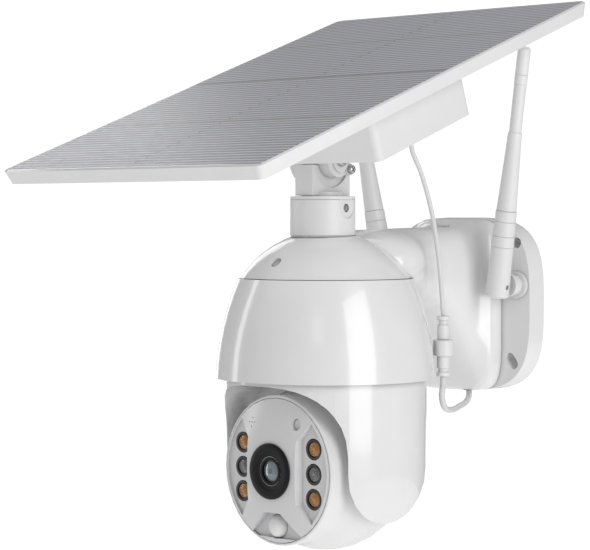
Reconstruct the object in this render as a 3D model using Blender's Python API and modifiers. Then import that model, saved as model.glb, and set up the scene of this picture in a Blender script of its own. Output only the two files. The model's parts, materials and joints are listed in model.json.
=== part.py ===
"""Solar-powered pan-and-tilt security camera on a wall arm.

Metres, +Z up, -Y out from the wall. The origin is the centre of the wall plate's back face.
Each moving body hangs from an empty that sits on its joint's axis.
"""

import math

import bmesh
import bpy
from mathutils import Matrix, Vector

# ---- Clearances -----------------------------------------------------------------------------
GAP = 0.0003  # between two faces that touch on the real object
RUNNING = 0.0005  # round a shaft or beside a part that moves

# ---- Wall plate and arm ---------------------------------------------------------------------
PLATE_SIZE = 0.1008
PLATE_THICK = 0.0142
PLATE_SQUARENESS = 3.3  # superellipse exponent
PLATE_EDGE = 0.0012
PLATE_POCKET = 0.008  # depth of the hollow under the arm's foot
ROUND_HOLE_AT = (0.0408, 0.0358)
ROUND_HOLE_RADIUS = 0.0031
SLOT_AT = (0.0377, -0.0324)
SLOT_RADIUS = 0.0030
SLOT_TRAVEL = 0.0042
SLOT_LEAN = math.radians(38)

ARM_REACH = 0.1355  # wall to the dome's axis
ARM_WALL = 0.0026
FOOT_HALF_WIDTH = 0.0306
FOOT_DEPTH = 0.0100  # how far the arm's foot stands off the plate
FOOT_TOP = 0.0499
FOOT_BOTTOM = -0.0502
ARM_TOP = 0.0440
NECK_BOTTOM = 0.0020
WAIST_HALF_WIDTH = 0.0235
ROOT_HALF_WIDTH = 0.0375
ARM_PLUG_RADIUS = 0.0075
ARM_PLUG_FROM_WALL = 0.0370
ARM_PLUG_SEAT = 0.0440
GROMMET_AT = (0.011, -0.0195)
GROMMET_RADIUS = 0.0032

# ---- Dome: cap, shroud and what hangs in them -----------------------------------------------
RIM_HEIGHT = -0.0367  # the shroud's lower rim, from the plate's centre
RIM_RADIUS = 0.0600
SHROUD_HEIGHT = 0.0538
SHROUD_SIDE_RADIUS = 0.1512
SHROUD_WIDEST = -0.0060  # height at which the side's arc stands upright
SHROUD_WALL = 0.0024
SHROUD_FLANGE = 0.0050
CAP_RADIUS = 0.0543
CAP_CENTRE = 0.0256
CAP_WALL = 0.0026
CAP_SCREW_AT = (-0.0014, -0.0391)
CAP_SCREW_RADIUS = 0.0027
DOME_STEPS = 44

COLLAR_RADIUS = 0.0178
COLLAR_BORE = 0.0120
COLLAR_BOTTOM = 0.0763
COLLAR_TOP = 0.0984
COLLAR_LIP = 0.0018
COLLAR_BEHIND = -0.0024  # the swivel axis, from the dome's axis
SET_SCREW_HEIGHT = 0.0920
SET_SCREW_RADIUS = 0.0021

MOTOR_PLATE_HEIGHT = 0.0240
MOTOR_PLATE_THICK = 0.0025
PAN_MOTOR_RADIUS = 0.0120
PAN_MOTOR_HEIGHT = 0.0150
MAIN_BOARD = (0.062, 0.052, 0.0016)
MAIN_BOARD_HEIGHT = 0.0460

# ---- Panel post, hinge, panel and battery box -----------------------------------------------
POST_WIDTH = 0.0121
POST_DEPTH = 0.0313
PIVOT_HEIGHT = 0.1180
PIVOT_TO_POST_SHOULDER = 0.0028
PIVOT_BOLT_RADIUS = 0.0025
EYE_RADIUS = 0.0088
EAR_RADIUS = 0.0124
EAR_OUTER = 0.0133
SMALL_EAR_RADIUS = 0.0094  # the ear on the locked side, with a lug for the lock screw
SMALL_EAR_OUTER = 0.0115
LOCK_LUG_RADIUS = 0.0033
BOSS_RADIUS = 0.0108
BOSS_PROUD = 0.0012
EAR_POCKET_RADIUS = 0.0150
EAR_POCKET_DEPTH = 0.0014
LOCK_SCREW_AT = (0.0061, -0.0075)
LOCK_SCREW_RADIUS = 0.0025

PANEL_TILT = math.radians(19.67)
PANEL_FACE = 0.04405  # from the pivot to the panel's front plane
LAMINATE_WIDTH = 0.1774
LAMINATE_LENGTH = 0.2836
LAMINATE_THICK = 0.0024
FRAME_BORDER = 0.0020
FRAME_DEPTH = 0.0080
FRAME_DRAFT = 0.0016
FRAME_FLOOR = 0.0022
FRAME_WALL = 0.0024
BOX_WIDTH = 0.1490
BOX_LENGTH = 0.0820
BOX_BOTTOM = 0.0330  # below the panel's front plane
BOX_WALL = 0.0020
BOX_EDGE = 0.0040
CELL_RADIUS = 0.0092
CELL_LENGTH = 0.0650
CELL_PITCH = 0.0200
PANEL_GLAND_AT = (0.0420, 0.0270)
PANEL_GLAND_RADIUS = 0.0033
PANEL_GLAND_LENGTH = 0.0040

# ---- Head: yoke, ball, face and lens --------------------------------------------------------
HEAD_REST_TURN = math.radians(-3.4)
TILT_HEIGHT = -0.0480
YOKE_RADIUS = 0.0550
YOKE_BELOW = 0.0502  # from the tilt axis down to where the rounded end would close
YOKE_TOP = 0.0110
SLOT_HALF_WIDTH = 0.0458
ARCH_RISE = 0.0461
ARCH_SQUARENESS = 3.2
SWEEP_RADIUS = 0.0553
HUB_RADIUS = 0.0098
HUB_TOP = 0.0305
BALL_RADIUS = 0.0460
BALL_HALF_WIDTH = 0.0443
BALL_WALL = 0.0022
DRUM_RADIUS = 0.0402
DRUM_FRONT = 0.0372
FACE_RADIUS = 0.0386
FACE_BACK = 0.0330
FACE_RIM = 0.0374
FACE_CROWN = 0.0424
FACE_FLAT_RADIUS = 0.0160
TRUNNION_RADIUS = 0.0060

LED_X = 0.0266
LED_PITCH = 0.0132
LED_RADIUS = 0.0055
LED_FLOOR = 0.0366  # the LED recess's floor, ahead of the tilt axis
RECESS_INNER_X = 0.0180
RECESS_APEX = (0.0262, 0.0265)
RECESS_SHOULDER = 0.0170
RECESS_EDGE_RADIUS = 0.0372
LENS_RING_RADIUS = 0.0150
LENS_RING_FRONT = 0.0436
LENS_RING_BORE = 0.0078
LENS_GLASS_RADIUS = 0.0058
BARREL_RADIUS = 0.0074
SENSOR_AT = (0.0167, 0.0257)
SENSOR_RADIUS = 0.0028
PIR_BELOW = 0.0298
PIR_RADIUS = 0.0063
PIR_FLOOR = 0.0358
PIR_RECESS_TOP = (0.0065, 0.0222)
PIR_RECESS_FOOT = (0.0205, 0.0360)
TILT_MOTOR_RADIUS = 0.0115
TILT_MOTOR_X = (0.0160, 0.0340)

# ---- Pan gears ------------------------------------------------------------------------------
GEAR_MODULE = 0.0010
GEAR_TEETH = 48
PINION_TEETH = 12
GEAR_THICK = 0.0040
GEAR_HEIGHT = 0.0150
TOOTH_SHARE = 0.40  # of the pitch, at the pitch circle
PINION_SHAFT_RADIUS = 0.0025

# ---- Antennas -------------------------------------------------------------------------------
ANTENNA_X = 0.0410
ANTENNA_HEIGHT = 0.0116
ANTENNA_OUT = 0.0325  # fold pin to wall
ANTENNA_SPLAY = math.radians(9.5)
ANTENNA_LEAN = math.radians(2.7)
SLEEVE_DROP = 0.0064
SLEEVE_RADIUS = 0.0068
ANTENNA_LENGTH = 0.1425
NECK_RADIUS = 0.0035
FOLD_PIN_RADIUS = 0.0011
TAB_THICK = 0.0046
TAB_RADIUS = 0.0042
ANTENNA_BOSS_RADIUS = 0.0080
KNUCKLE_RADIUS = 0.0065

# ---- Leads ----------------------------------------------------------------------------------
THIN_LEAD = 0.0025
THICK_LEAD = 0.0034
PLUG_AT = (0.0420, -0.0850)
PLUG_TOP = -0.0039
PLUG_LENGTH = 0.0330

MODEL_NAME = "solar_security_camera"
COLOURS = {
    "white_gloss": ((0.83, 0.84, 0.85), 0.22, 0.0),
    "white_satin": ((0.78, 0.79, 0.80), 0.45, 0.0),
    "grey_face": ((0.56, 0.57, 0.58), 0.45, 0.0),
    "black_gloss": ((0.02, 0.02, 0.02), 0.2, 0.0),
    "glass": ((0.25, 0.3, 0.33), 0.05, 0.0),
    "cells": ((0.27, 0.27, 0.33), 0.3, 0.0),
    "amber": ((0.75, 0.33, 0.05), 0.2, 0.0),
    "smoke": ((0.22, 0.22, 0.23), 0.2, 0.0),
    "pearl": ((0.86, 0.86, 0.86), 0.4, 0.0),
    "steel": ((0.56, 0.56, 0.57), 0.3, 1.0),
    "acetal": ((0.75, 0.73, 0.68), 0.5, 0.0),
    "board": ((0.02, 0.17, 0.08), 0.5, 0.0),
    "battery": ((0.05, 0.2, 0.45), 0.5, 0.0),
    "motor": ((0.4, 0.4, 0.42), 0.4, 0.8),
    "rubber": ((0.6, 0.6, 0.6), 0.7, 0.0),
}


# ---- Scene, materials and placing -----------------------------------------------------------
def clear_scene():
    """Remove every object that the open file holds."""
    for old in list(bpy.data.objects):
        bpy.data.objects.remove(old, do_unlink=True)


def new_collection(name, hidden=False):
    """Make a collection in the scene and return it."""
    made = bpy.data.collections.new(name)
    bpy.context.scene.collection.children.link(made)
    made.hide_render = hidden
    return made


def material(key):
    """Return the Principled material for one entry of COLOURS, made once."""
    found = bpy.data.materials.get(key)
    if found:
        return found
    colour, roughness, metallic = COLOURS[key]
    made = bpy.data.materials.new(key)
    made.use_nodes = True
    shader = made.node_tree.nodes["Principled BSDF"]
    shader.inputs["Base Color"].default_value = (*colour, 1.0)
    shader.inputs["Roughness"].default_value = roughness
    shader.inputs["Metallic"].default_value = metallic
    made.diffuse_color = (*colour, 1.0)
    return made


def empty(name, parent=None, location=(0, 0, 0), rotation=(0, 0, 0)):
    """Add an empty that carries one body of the assembly."""
    made = bpy.data.objects.new(name, None)
    made.empty_display_size = 0.01
    PARTS.objects.link(made)
    place(made, parent, location, rotation)
    return made


def place(obj, parent, location=(0, 0, 0), rotation=(0, 0, 0)):
    """Set an object's parent and its place in that parent's frame."""
    obj.parent = parent
    obj.location = location
    obj.rotation_euler = rotation


def add_part(name, mesh, colour, parent=None, location=(0, 0, 0), rotation=(0, 0, 0)):
    """Link a mesh as one visible sub-part."""
    made = bpy.data.objects.new(name, mesh)
    mesh.materials.append(material(colour))
    PARTS.objects.link(made)
    place(made, parent, location, rotation)
    return made


def add_cutter(name, mesh, parent=None, location=(0, 0, 0), rotation=(0, 0, 0)):
    """Link a mesh as a hidden Boolean operand."""
    made = bpy.data.objects.new("cut_" + name, mesh)
    CUTTERS.objects.link(made)
    place(made, parent, location, rotation)
    made.hide_render = True
    made.display_type = "WIRE"
    return made


def combine(target, operand, operation="DIFFERENCE"):
    """Join or cut the target with the operand through an exact Boolean."""
    modifier = target.modifiers.new(operand.name, "BOOLEAN")
    modifier.operation = operation
    modifier.solver = "EXACT"
    modifier.object = operand
    return target


def round_edges(obj, width, segments=2, angle=math.radians(40)):
    """Bevel the sharp edges of an object."""
    modifier = obj.modifiers.new("round_edges", "BEVEL")
    modifier.width = width
    modifier.segments = segments
    modifier.limit_method = "ANGLE"
    modifier.angle_limit = angle
    return obj


# ---- Meshes ---------------------------------------------------------------------------------
TURN_TO = {
    "Z": Matrix.Identity(4),
    "X": Matrix.Rotation(math.radians(90), 4, "Y"),
    "-Y": Matrix.Rotation(math.radians(90), 4, "X"),
}


def finish_mesh(name, bm, smooth=True):
    """Turn a bmesh into a mesh with outward normals and smooth rounds."""
    bmesh.ops.recalc_face_normals(bm, faces=bm.faces[:])
    if bm.calc_volume(signed=True) < 0:
        bmesh.ops.reverse_faces(bm, faces=bm.faces[:])
    mesh = bpy.data.meshes.new(name)
    bm.to_mesh(mesh)
    bm.free()
    if smooth:
        mesh.shade_smooth()
        mesh.set_sharp_from_angle(angle=math.radians(35))
    return mesh


def box_mesh(size, centre=(0, 0, 0)):
    """A block of the given size round its centre."""
    bm = bmesh.new()
    scale = Matrix.Diagonal((*size, 1.0))
    bmesh.ops.create_cube(bm, size=1.0, matrix=Matrix.Translation(centre) @ scale)
    return finish_mesh("block", bm, smooth=False)


def rod_mesh(radius, start, end, axis="Z", at=(0, 0), steps=24, end_radius=None):
    """A rod along an axis from start to end; at is its place across the axis, as X or Y then Z."""
    bm = bmesh.new()
    middle = Matrix.Translation((0, 0, (start + end) / 2))
    top = radius if end_radius is None else end_radius
    bmesh.ops.create_cone(
        bm, cap_ends=True, segments=steps, radius1=radius, radius2=top, depth=end - start, matrix=middle
    )
    bm.transform(TURN_TO[axis])
    across = {"Z": (at[0], at[1], 0), "X": (0, at[0], at[1]), "-Y": (at[0], 0, at[1])}
    bm.transform(Matrix.Translation(across[axis]))
    return finish_mesh("rod", bm)


def ball_mesh(radius, segments, rings):
    """A sphere whose poles lie on Z."""
    bm = bmesh.new()
    bmesh.ops.create_uvsphere(bm, u_segments=segments, v_segments=rings, radius=radius)
    return finish_mesh("ball", bm)


def profile_mesh(points, closed=False):
    """The edges of a turned profile: radius, then height."""
    mesh = bpy.data.meshes.new("profile")
    count = len(points)
    edges = [(i, i + 1) for i in range(count - 1)]
    if closed:
        edges.append((count - 1, 0))
    mesh.from_pydata([(r, 0.0, z) for r, z in points], edges, [])
    return mesh


def turn(obj, steps):
    """Spin an object's profile round its Z axis."""
    modifier = obj.modifiers.new("turned", "SCREW")
    modifier.steps = steps
    modifier.render_steps = steps
    modifier.use_merge_vertices = True
    modifier.merge_threshold = 0.00001
    modifier.use_smooth_shade = True
    return obj


def plate_mesh(outlines, start, end, axis="Z"):
    """A flat plate between two heights along an axis; the outlines after the first are its holes."""
    curve = bpy.data.curves.new("outline", "CURVE")
    curve.dimensions = "2D"
    curve.fill_mode = "BOTH"
    curve.extrude = (end - start) / 2
    for outline in outlines:
        spline = curve.splines.new("POLY")
        spline.points.add(len(outline) - 1)
        for point, (x, y) in zip(spline.points, outline):
            point.co = (x, y, 0.0, 1.0)
        spline.use_cyclic_u = True
    holder = bpy.data.objects.new("outline", curve)
    CUTTERS.objects.link(holder)
    graph = bpy.context.evaluated_depsgraph_get()
    mesh = bpy.data.meshes.new_from_object(holder.evaluated_get(graph))
    bpy.data.objects.remove(holder, do_unlink=True)
    bm = bmesh.new()
    bm.from_mesh(mesh)
    bmesh.ops.remove_doubles(bm, verts=bm.verts[:], dist=0.00001)
    bm.transform(TURN_TO[axis] @ Matrix.Translation((0, 0, (start + end) / 2)))
    return finish_mesh("plate", bm)


def superellipse(half_width, half_height, exponent, count, centre=(0, 0)):
    """Points of a rounded rectangle whose corners follow one formula."""
    points = []
    for step in range(count):
        angle = 2 * math.pi * (step + 0.5) / count
        c, s = math.cos(angle), math.sin(angle)
        x = math.copysign(abs(c) ** (2 / exponent), c) * half_width
        y = math.copysign(abs(s) ** (2 / exponent), s) * half_height
        points.append((centre[0] + x, centre[1] + y))
    return points


def arc(centre, radius, start, end, count):
    """Points on an arc from one angle to another, in degrees."""
    points = []
    for step in range(count + 1):
        angle = math.radians(start + (end - start) * step / count)
        points.append((centre[0] + radius * math.cos(angle), centre[1] + radius * math.sin(angle)))
    return points


def rounded_rectangle(width, height, radius, centre=(0, 0), count=4):
    """Points of a rectangle with round corners."""
    x, y = width / 2 - radius, height / 2 - radius
    points = []
    for quarter, (sx, sy) in enumerate(((1, 1), (-1, 1), (-1, -1), (1, -1))):
        corner = (centre[0] + sx * x, centre[1] + sy * y)
        points += arc(corner, radius, 90 * quarter, 90 * quarter + 90, count)
    return points


def loft_mesh(sections):
    """Skin a row of closed sections that have the same number of points."""
    bm = bmesh.new()
    rings = [[bm.verts.new(point) for point in section] for section in sections]
    for near, far in zip(rings, rings[1:]):
        for i in range(len(near)):
            j = (i + 1) % len(near)
            bm.faces.new((near[i], near[j], far[j], far[i]))
    bm.faces.new(rings[0])
    bm.faces.new(list(reversed(rings[-1])))
    return finish_mesh("loft", bm)


def smooth_route(points, spacing):
    """Points at an even spacing along a smooth curve through the route's own points."""
    route = [Vector(p) for p in points]
    route = [2 * route[0] - route[1], *route, 2 * route[-1] - route[-2]]
    fine = []
    for a, b, c, d in zip(route, route[1:], route[2:], route[3:]):
        for step in range(20):
            t = step / 20
            fine.append(
                0.5 * ((2 * b) + (c - a) * t + (2 * a - 5 * b + 4 * c - d) * t**2 + (3 * b - a - 3 * c + d) * t**3)
            )
    fine.append(route[-2])
    total = sum((q - p).length for p, q in zip(fine, fine[1:]))
    count = max(2, round(total / spacing))
    even, walked, wanted = [fine[0]], 0.0, total / count
    for p, q in zip(fine, fine[1:]):
        step = (q - p).length
        while walked + step >= wanted - 1e-9 and len(even) < count:
            even.append(p.lerp(q, (wanted - walked) / step))
            wanted += total / count
        walked += step
    return [*even, fine[-1]]


def tube(name, points, diameter, colour, parent=None):
    """A cord: a poly spline with a round section and filled caps."""
    curve = bpy.data.curves.new(name, "CURVE")
    curve.dimensions = "3D"
    curve.bevel_depth = diameter / 2
    curve.bevel_resolution = 2
    curve.use_fill_caps = True
    spline = curve.splines.new("POLY")
    spline.points.add(len(points) - 1)
    for target, point in zip(spline.points, points):
        target.co = (*point, 1.0)
    made = bpy.data.objects.new(name, curve)
    curve.materials.append(material(colour))
    PARTS.objects.link(made)
    place(made, parent)
    return made


# ---- Wall plate and antenna bosses ----------------------------------------------------------
def build_wall_plate():
    """The plate that is screwed to the wall, hollow under the arm's foot."""
    half = PLATE_SIZE / 2
    mesh = plate_mesh([superellipse(half, half, PLATE_SQUARENESS, 48)], 0, PLATE_THICK, "-Y")
    plate = add_part("wall_plate", mesh, "white_gloss")
    round_edges(plate, PLATE_EDGE, 1)
    past = (-0.01, PLATE_THICK + 0.01)
    for side in (1, -1):
        x, z = ROUND_HOLE_AT
        hole = rod_mesh(ROUND_HOLE_RADIUS, *past, "-Y", (side * x, z), 16)
        combine(plate, add_cutter("plate_hole", hole))
        slot = plate_mesh([slot_outline()], *past, "-Y")
        place_at = (side * SLOT_AT[0], 0, SLOT_AT[1])
        combine(plate, add_cutter("plate_slot", slot, None, place_at, (0, side * -SLOT_LEAN, 0)))
    depth = PLATE_POCKET + 0.01
    size = (2 * (FOOT_HALF_WIDTH - 3 * ARM_WALL), depth, 0.8 * (FOOT_TOP - FOOT_BOTTOM))
    middle = (0, -PLATE_THICK + PLATE_POCKET - depth / 2, (FOOT_TOP + FOOT_BOTTOM) / 2)
    combine(plate, add_cutter("plate_pocket", box_mesh(size, middle)))


def slot_outline():
    """A slot with round ends, upright."""
    half = SLOT_TRAVEL / 2
    return arc((0, half), SLOT_RADIUS, 0, 180, 6) + arc((0, -half), SLOT_RADIUS, 180, 360, 6)


def build_antenna(side, word):
    """One antenna: its boss on the plate, the knuckle that turns in it, and the folding rod."""
    front = -PLATE_THICK - GAP
    knuckle_back = -ANTENNA_OUT + 0.0113
    boss = [
        (0, front), (ANTENNA_BOSS_RADIUS, front), (ANTENNA_BOSS_RADIUS, front - 0.0022),
        (0.0058, front - 0.0026), (0.0058, knuckle_back + GAP), (0, knuckle_back + GAP),
    ]
    mesh = profile_mesh([(r, y) for r, y in boss])
    turn(add_part("antenna_boss_" + word, mesh, "white_satin", None,
                  (side * ANTENNA_X, 0, ANTENNA_HEIGHT), (math.radians(-90), 0, 0)), 24)
    swivel = empty("antenna_swivel_" + word, None, (side * ANTENNA_X, -ANTENNA_OUT, ANTENNA_HEIGHT),
                   (0, side * ANTENNA_SPLAY, 0))
    back = 0.0113
    knuckle = add_part("antenna_knuckle_" + word, rod_mesh(KNUCKLE_RADIUS, -back, -back + 0.0030, "-Y"),
                       "white_satin", swivel)
    tab = [(-back + 0.0020, -TAB_RADIUS), *arc((0, 0), TAB_RADIUS, -90, 90, 8), (-back + 0.0020, TAB_RADIUS)]
    tab_mesh = plate_mesh([[(x, z) for x, z in tab]], -TAB_THICK / 2, TAB_THICK / 2)
    tab_mesh.transform(Matrix(((0, 0, 1, 0), (-1, 0, 0, 0), (0, 1, 0, 0), (0, 0, 0, 1))))
    combine(knuckle, add_cutter("knuckle_tab", tab_mesh, swivel), "UNION")
    pin_hole = rod_mesh(FOLD_PIN_RADIUS + GAP, -0.02, 0.02, "X", steps=12)
    combine(knuckle, add_cutter("knuckle_hole", pin_hole, swivel))
    fold = empty("antenna_fold_" + word, swivel, (0, 0, 0), (ANTENNA_LEAN, 0, 0))
    rod = turn(add_part("antenna_" + word, profile_mesh(antenna_profile()), "white_satin", fold), 16)
    width = TAB_THICK + 2 * RUNNING
    reach = TAB_RADIUS + RUNNING
    size = (width, 0.02 + reach, 0.02 + reach)
    combine(rod, add_cutter("fold_slot", box_mesh(size, (0, 0.01 - reach / 2, reach / 2 - 0.01)), fold))
    pin_hole = rod_mesh(FOLD_PIN_RADIUS + GAP, -0.02, 0.02, "X", steps=12)
    combine(rod, add_cutter("rod_pin_hole", pin_hole, fold))
    pin_half = SLEEVE_RADIUS - 0.0009
    add_part("antenna_pin_" + word, rod_mesh(FOLD_PIN_RADIUS, -pin_half, pin_half, "X", steps=12), "steel", fold)


def antenna_profile():
    """The rod's turned outline from tip to foot: cap, slim whip, step and ringed sleeve."""
    groove = 0.0003
    points = [(0, ANTENNA_LENGTH), (0.0026, ANTENNA_LENGTH - 0.0002), (0.0037, ANTENNA_LENGTH - 0.0016)]
    for height, upper, lower in (
        (0.1266, 0.00375, 0.00375), (0.1212, 0.00375, 0.0036),
        (0.0496, 0.00575, 0.0061), (0.0434, 0.0061, 0.0062),
        (0.0351, 0.0064, 0.0065), (0.0289, 0.0065, 0.0065),
    ):
        if height == 0.0496:
            points += [(NECK_RADIUS, 0.0943), (0.0040, 0.0939), (0.0040, 0.0924)]
        points += [(upper, height + groove), (upper - groove, height), (lower, height - groove)]
    points += [(SLEEVE_RADIUS, 0.0008), (SLEEVE_RADIUS - 0.0006, 0), (0, 0)]
    return [(r, z - SLEEVE_DROP) for r, z in points]


# ---- Arm and cap ----------------------------------------------------------------------------
def arm_sections(inset, past_foot):
    """Sections of the arm from the dome to the plate, drawn in by the inset all round."""
    foot_front = PLATE_THICK + FOOT_DEPTH
    rows = (
        (ARM_REACH - 0.005, 0.0200, ARM_TOP - 0.0032, NECK_BOTTOM, 2.3),
        (ARM_REACH - 0.022, 0.0360, ARM_TOP - 0.0011, NECK_BOTTOM, 2.3),
        (ARM_REACH - 0.034, ROOT_HALF_WIDTH, ARM_TOP - 0.0005, NECK_BOTTOM + 0.0060, 2.3),
        (ARM_REACH - 0.046, 0.0330, ARM_TOP - 0.0003, NECK_BOTTOM + 0.0050, 2.4),
        (ARM_REACH - 0.058, 0.0270, ARM_TOP, NECK_BOTTOM, 2.6),
        (foot_front + 0.0420, WAIST_HALF_WIDTH, ARM_TOP + 0.0003, NECK_BOTTOM, 2.8),
        (foot_front + 0.0300, WAIST_HALF_WIDTH, ARM_TOP + 0.0006, NECK_BOTTOM - 0.0050, 2.8),
        (foot_front + 0.0180, WAIST_HALF_WIDTH + 0.0004, ARM_TOP + 0.0009, -0.0200, 3.0),
        (foot_front + 0.0095, 0.0248, ARM_TOP + 0.0013, -0.0350, 3.3),
        (foot_front + 0.0045, 0.0266, ARM_TOP + 0.0024, -0.0435, 3.8),
        (foot_front + 0.0016, 0.0288, FOOT_TOP - 0.0016, -0.0478, 4.4),
        (foot_front - 0.0006, 0.0302, FOOT_TOP - 0.0003, -0.0495, 5.2),
        (foot_front - 0.0036, FOOT_HALF_WIDTH, FOOT_TOP, FOOT_BOTTOM, 6.0),
    )
    sections = []
    for from_wall, half_width, top, bottom, exponent in rows:
        half_height = (top - bottom) / 2 - inset
        outline = superellipse(half_width - inset, half_height, exponent, 28, (0, (top + bottom) / 2))
        sections.append([(x, -from_wall, z) for x, z in outline])
    sections.append([(x, -PLATE_THICK - GAP + past_foot, z) for x, _, z in sections[-1]])
    return sections


def shroud_side(offset, top):
    """The shroud's side from a height down to the rim, moved out by the offset."""
    centre = RIM_RADIUS - SHROUD_SIDE_RADIUS
    points = []
    for step in range(7):
        height = top * (1 - step / 6)
        reach = math.sqrt(SHROUD_SIDE_RADIUS**2 - (height - SHROUD_WIDEST) ** 2)
        points.append((centre + reach + offset, height))
    return points


def cap_arc(radius, bottom, steps):
    """The cap's spherical side from the pole down to a height."""
    points = []
    lowest = math.acos((bottom - CAP_CENTRE) / radius)
    for step in range(steps + 1):
        angle = lowest * step / steps
        points.append((radius * math.sin(angle), CAP_CENTRE + radius * math.cos(angle)))
    return points


def build_arm(dome):
    """The cap and the arm, one moulding that is hollow and open to the plate and the shroud."""
    housing = add_part("arm_housing", loft_mesh(arm_sections(0, 0)), "white_gloss")
    seam = SHROUD_HEIGHT + GAP
    under = seam - 0.0031
    cap = profile_mesh([*cap_arc(CAP_RADIUS, under, 8), (0, under)])
    combine(housing, turn(add_cutter("cap", cap, dome), DOME_STEPS), "UNION")
    keep_out = [(0, seam), *shroud_side(RUNNING, seam), (RIM_RADIUS + RUNNING, -0.03), (0, -0.03)]
    combine(housing, turn(add_cutter("shroud_room", profile_mesh(keep_out), dome), DOME_STEPS))
    under = seam - 0.0047
    hollow = profile_mesh([*cap_arc(CAP_RADIUS - CAP_WALL, under, 8), (0, under)])
    combine(housing, turn(add_cutter("cap_hollow", hollow, dome), DOME_STEPS))
    trunk = add_cutter("arm_hollow", loft_mesh(arm_sections(ARM_WALL, 0.01)))
    wall_top = seam + ARM_WALL
    wall = [(0, wall_top), *shroud_side(RUNNING + ARM_WALL, wall_top), (RIM_RADIUS + ARM_WALL, -0.03), (0, -0.03)]
    combine(trunk, turn(add_cutter("arm_front_wall", profile_mesh(wall), dome), DOME_STEPS))
    combine(housing, trunk)
    seat = rod_mesh(COLLAR_RADIUS + GAP, COLLAR_BOTTOM - GAP, COLLAR_TOP, "Z", (0, COLLAR_BEHIND), 32)
    combine(housing, add_cutter("collar_seat", seat, dome))
    spigot = rod_mesh(COLLAR_BORE, 0.05, COLLAR_TOP, "Z", (0, COLLAR_BEHIND), 32)
    combine(housing, add_cutter("collar_bore", spigot, dome))
    plug_at = (0, -ARM_PLUG_FROM_WALL)
    plug = rod_mesh(ARM_PLUG_RADIUS + GAP, ARM_PLUG_SEAT, ARM_PLUG_SEAT + 0.01, "Z", plug_at, 28)
    combine(housing, add_cutter("plug_seat", plug))
    grommet = rod_mesh(GROMMET_RADIUS + GAP, FOOT_BOTTOM - 0.01, FOOT_BOTTOM + 0.01, "Z", GROMMET_AT, 16)
    combine(housing, add_cutter("grommet_hole", grommet))
    plug_top = ARM_PLUG_SEAT + 0.0007
    add_part("arm_plug", rod_mesh(ARM_PLUG_RADIUS, ARM_PLUG_SEAT + GAP, plug_top, "Z", plug_at, 28), "white_gloss")
    low, high = FOOT_BOTTOM, FOOT_BOTTOM + ARM_WALL
    add_part("arm_grommet", rod_mesh(GROMMET_RADIUS, low, high, "Z", GROMMET_AT, 16), "rubber")
    for side, word in ((1, "front"), (-1, "back")):
        build_cap_screw(housing, dome, side, word)


def build_cap_screw(housing, dome, side, word):
    """A countersunk screw square to the cap's surface, with its recess."""
    x, y = CAP_SCREW_AT[0] * side, CAP_SCREW_AT[1]
    if word == "back":
        x, y = -0.0391, 0.0
    lift = math.sqrt(CAP_RADIUS**2 - x**2 - y**2)
    normal = Vector((x, y, lift)).normalized()
    turned = normal.to_track_quat("Z", "Y").to_euler()
    surface = Vector((0, 0, CAP_CENTRE)) + normal * CAP_RADIUS
    recess = rod_mesh(CAP_SCREW_RADIUS, -0.0022, 0.003, steps=20, end_radius=CAP_SCREW_RADIUS + 0.0014)
    combine(housing, add_cutter("screw_recess", recess, dome, surface, turned))
    shank = rod_mesh(0.0014, -0.006, 0.0, steps=12)
    combine(housing, add_cutter("screw_shank", shank, dome, surface, turned))
    head = CAP_SCREW_RADIUS - GAP
    top, seat = -0.0012, -0.0019
    screw = profile_mesh([(0, top), (head, top), (head, seat), (0.0011, seat), (0.0011, -0.006), (0, -0.006)])
    turn(add_part("cap_screw_" + word, screw, "steel", dome, surface, turned), 12)


# ---- Dome: shroud, collar and the pan drive's fixed side ------------------------------------
def build_shroud(dome):
    """The bell-shaped skirt under the cap, with an inner flange at its top."""
    outer = shroud_side(0, SHROUD_HEIGHT)
    inner = list(reversed(shroud_side(-SHROUD_WALL, SHROUD_HEIGHT - SHROUD_WALL)))
    lip = outer[0][0] - SHROUD_FLANGE
    flange = [(lip, SHROUD_HEIGHT - SHROUD_WALL), (lip, SHROUD_HEIGHT)]
    shroud = add_part("shroud", profile_mesh(outer + inner + flange, closed=True), "white_gloss", dome)
    turn(shroud, DOME_STEPS)


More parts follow.
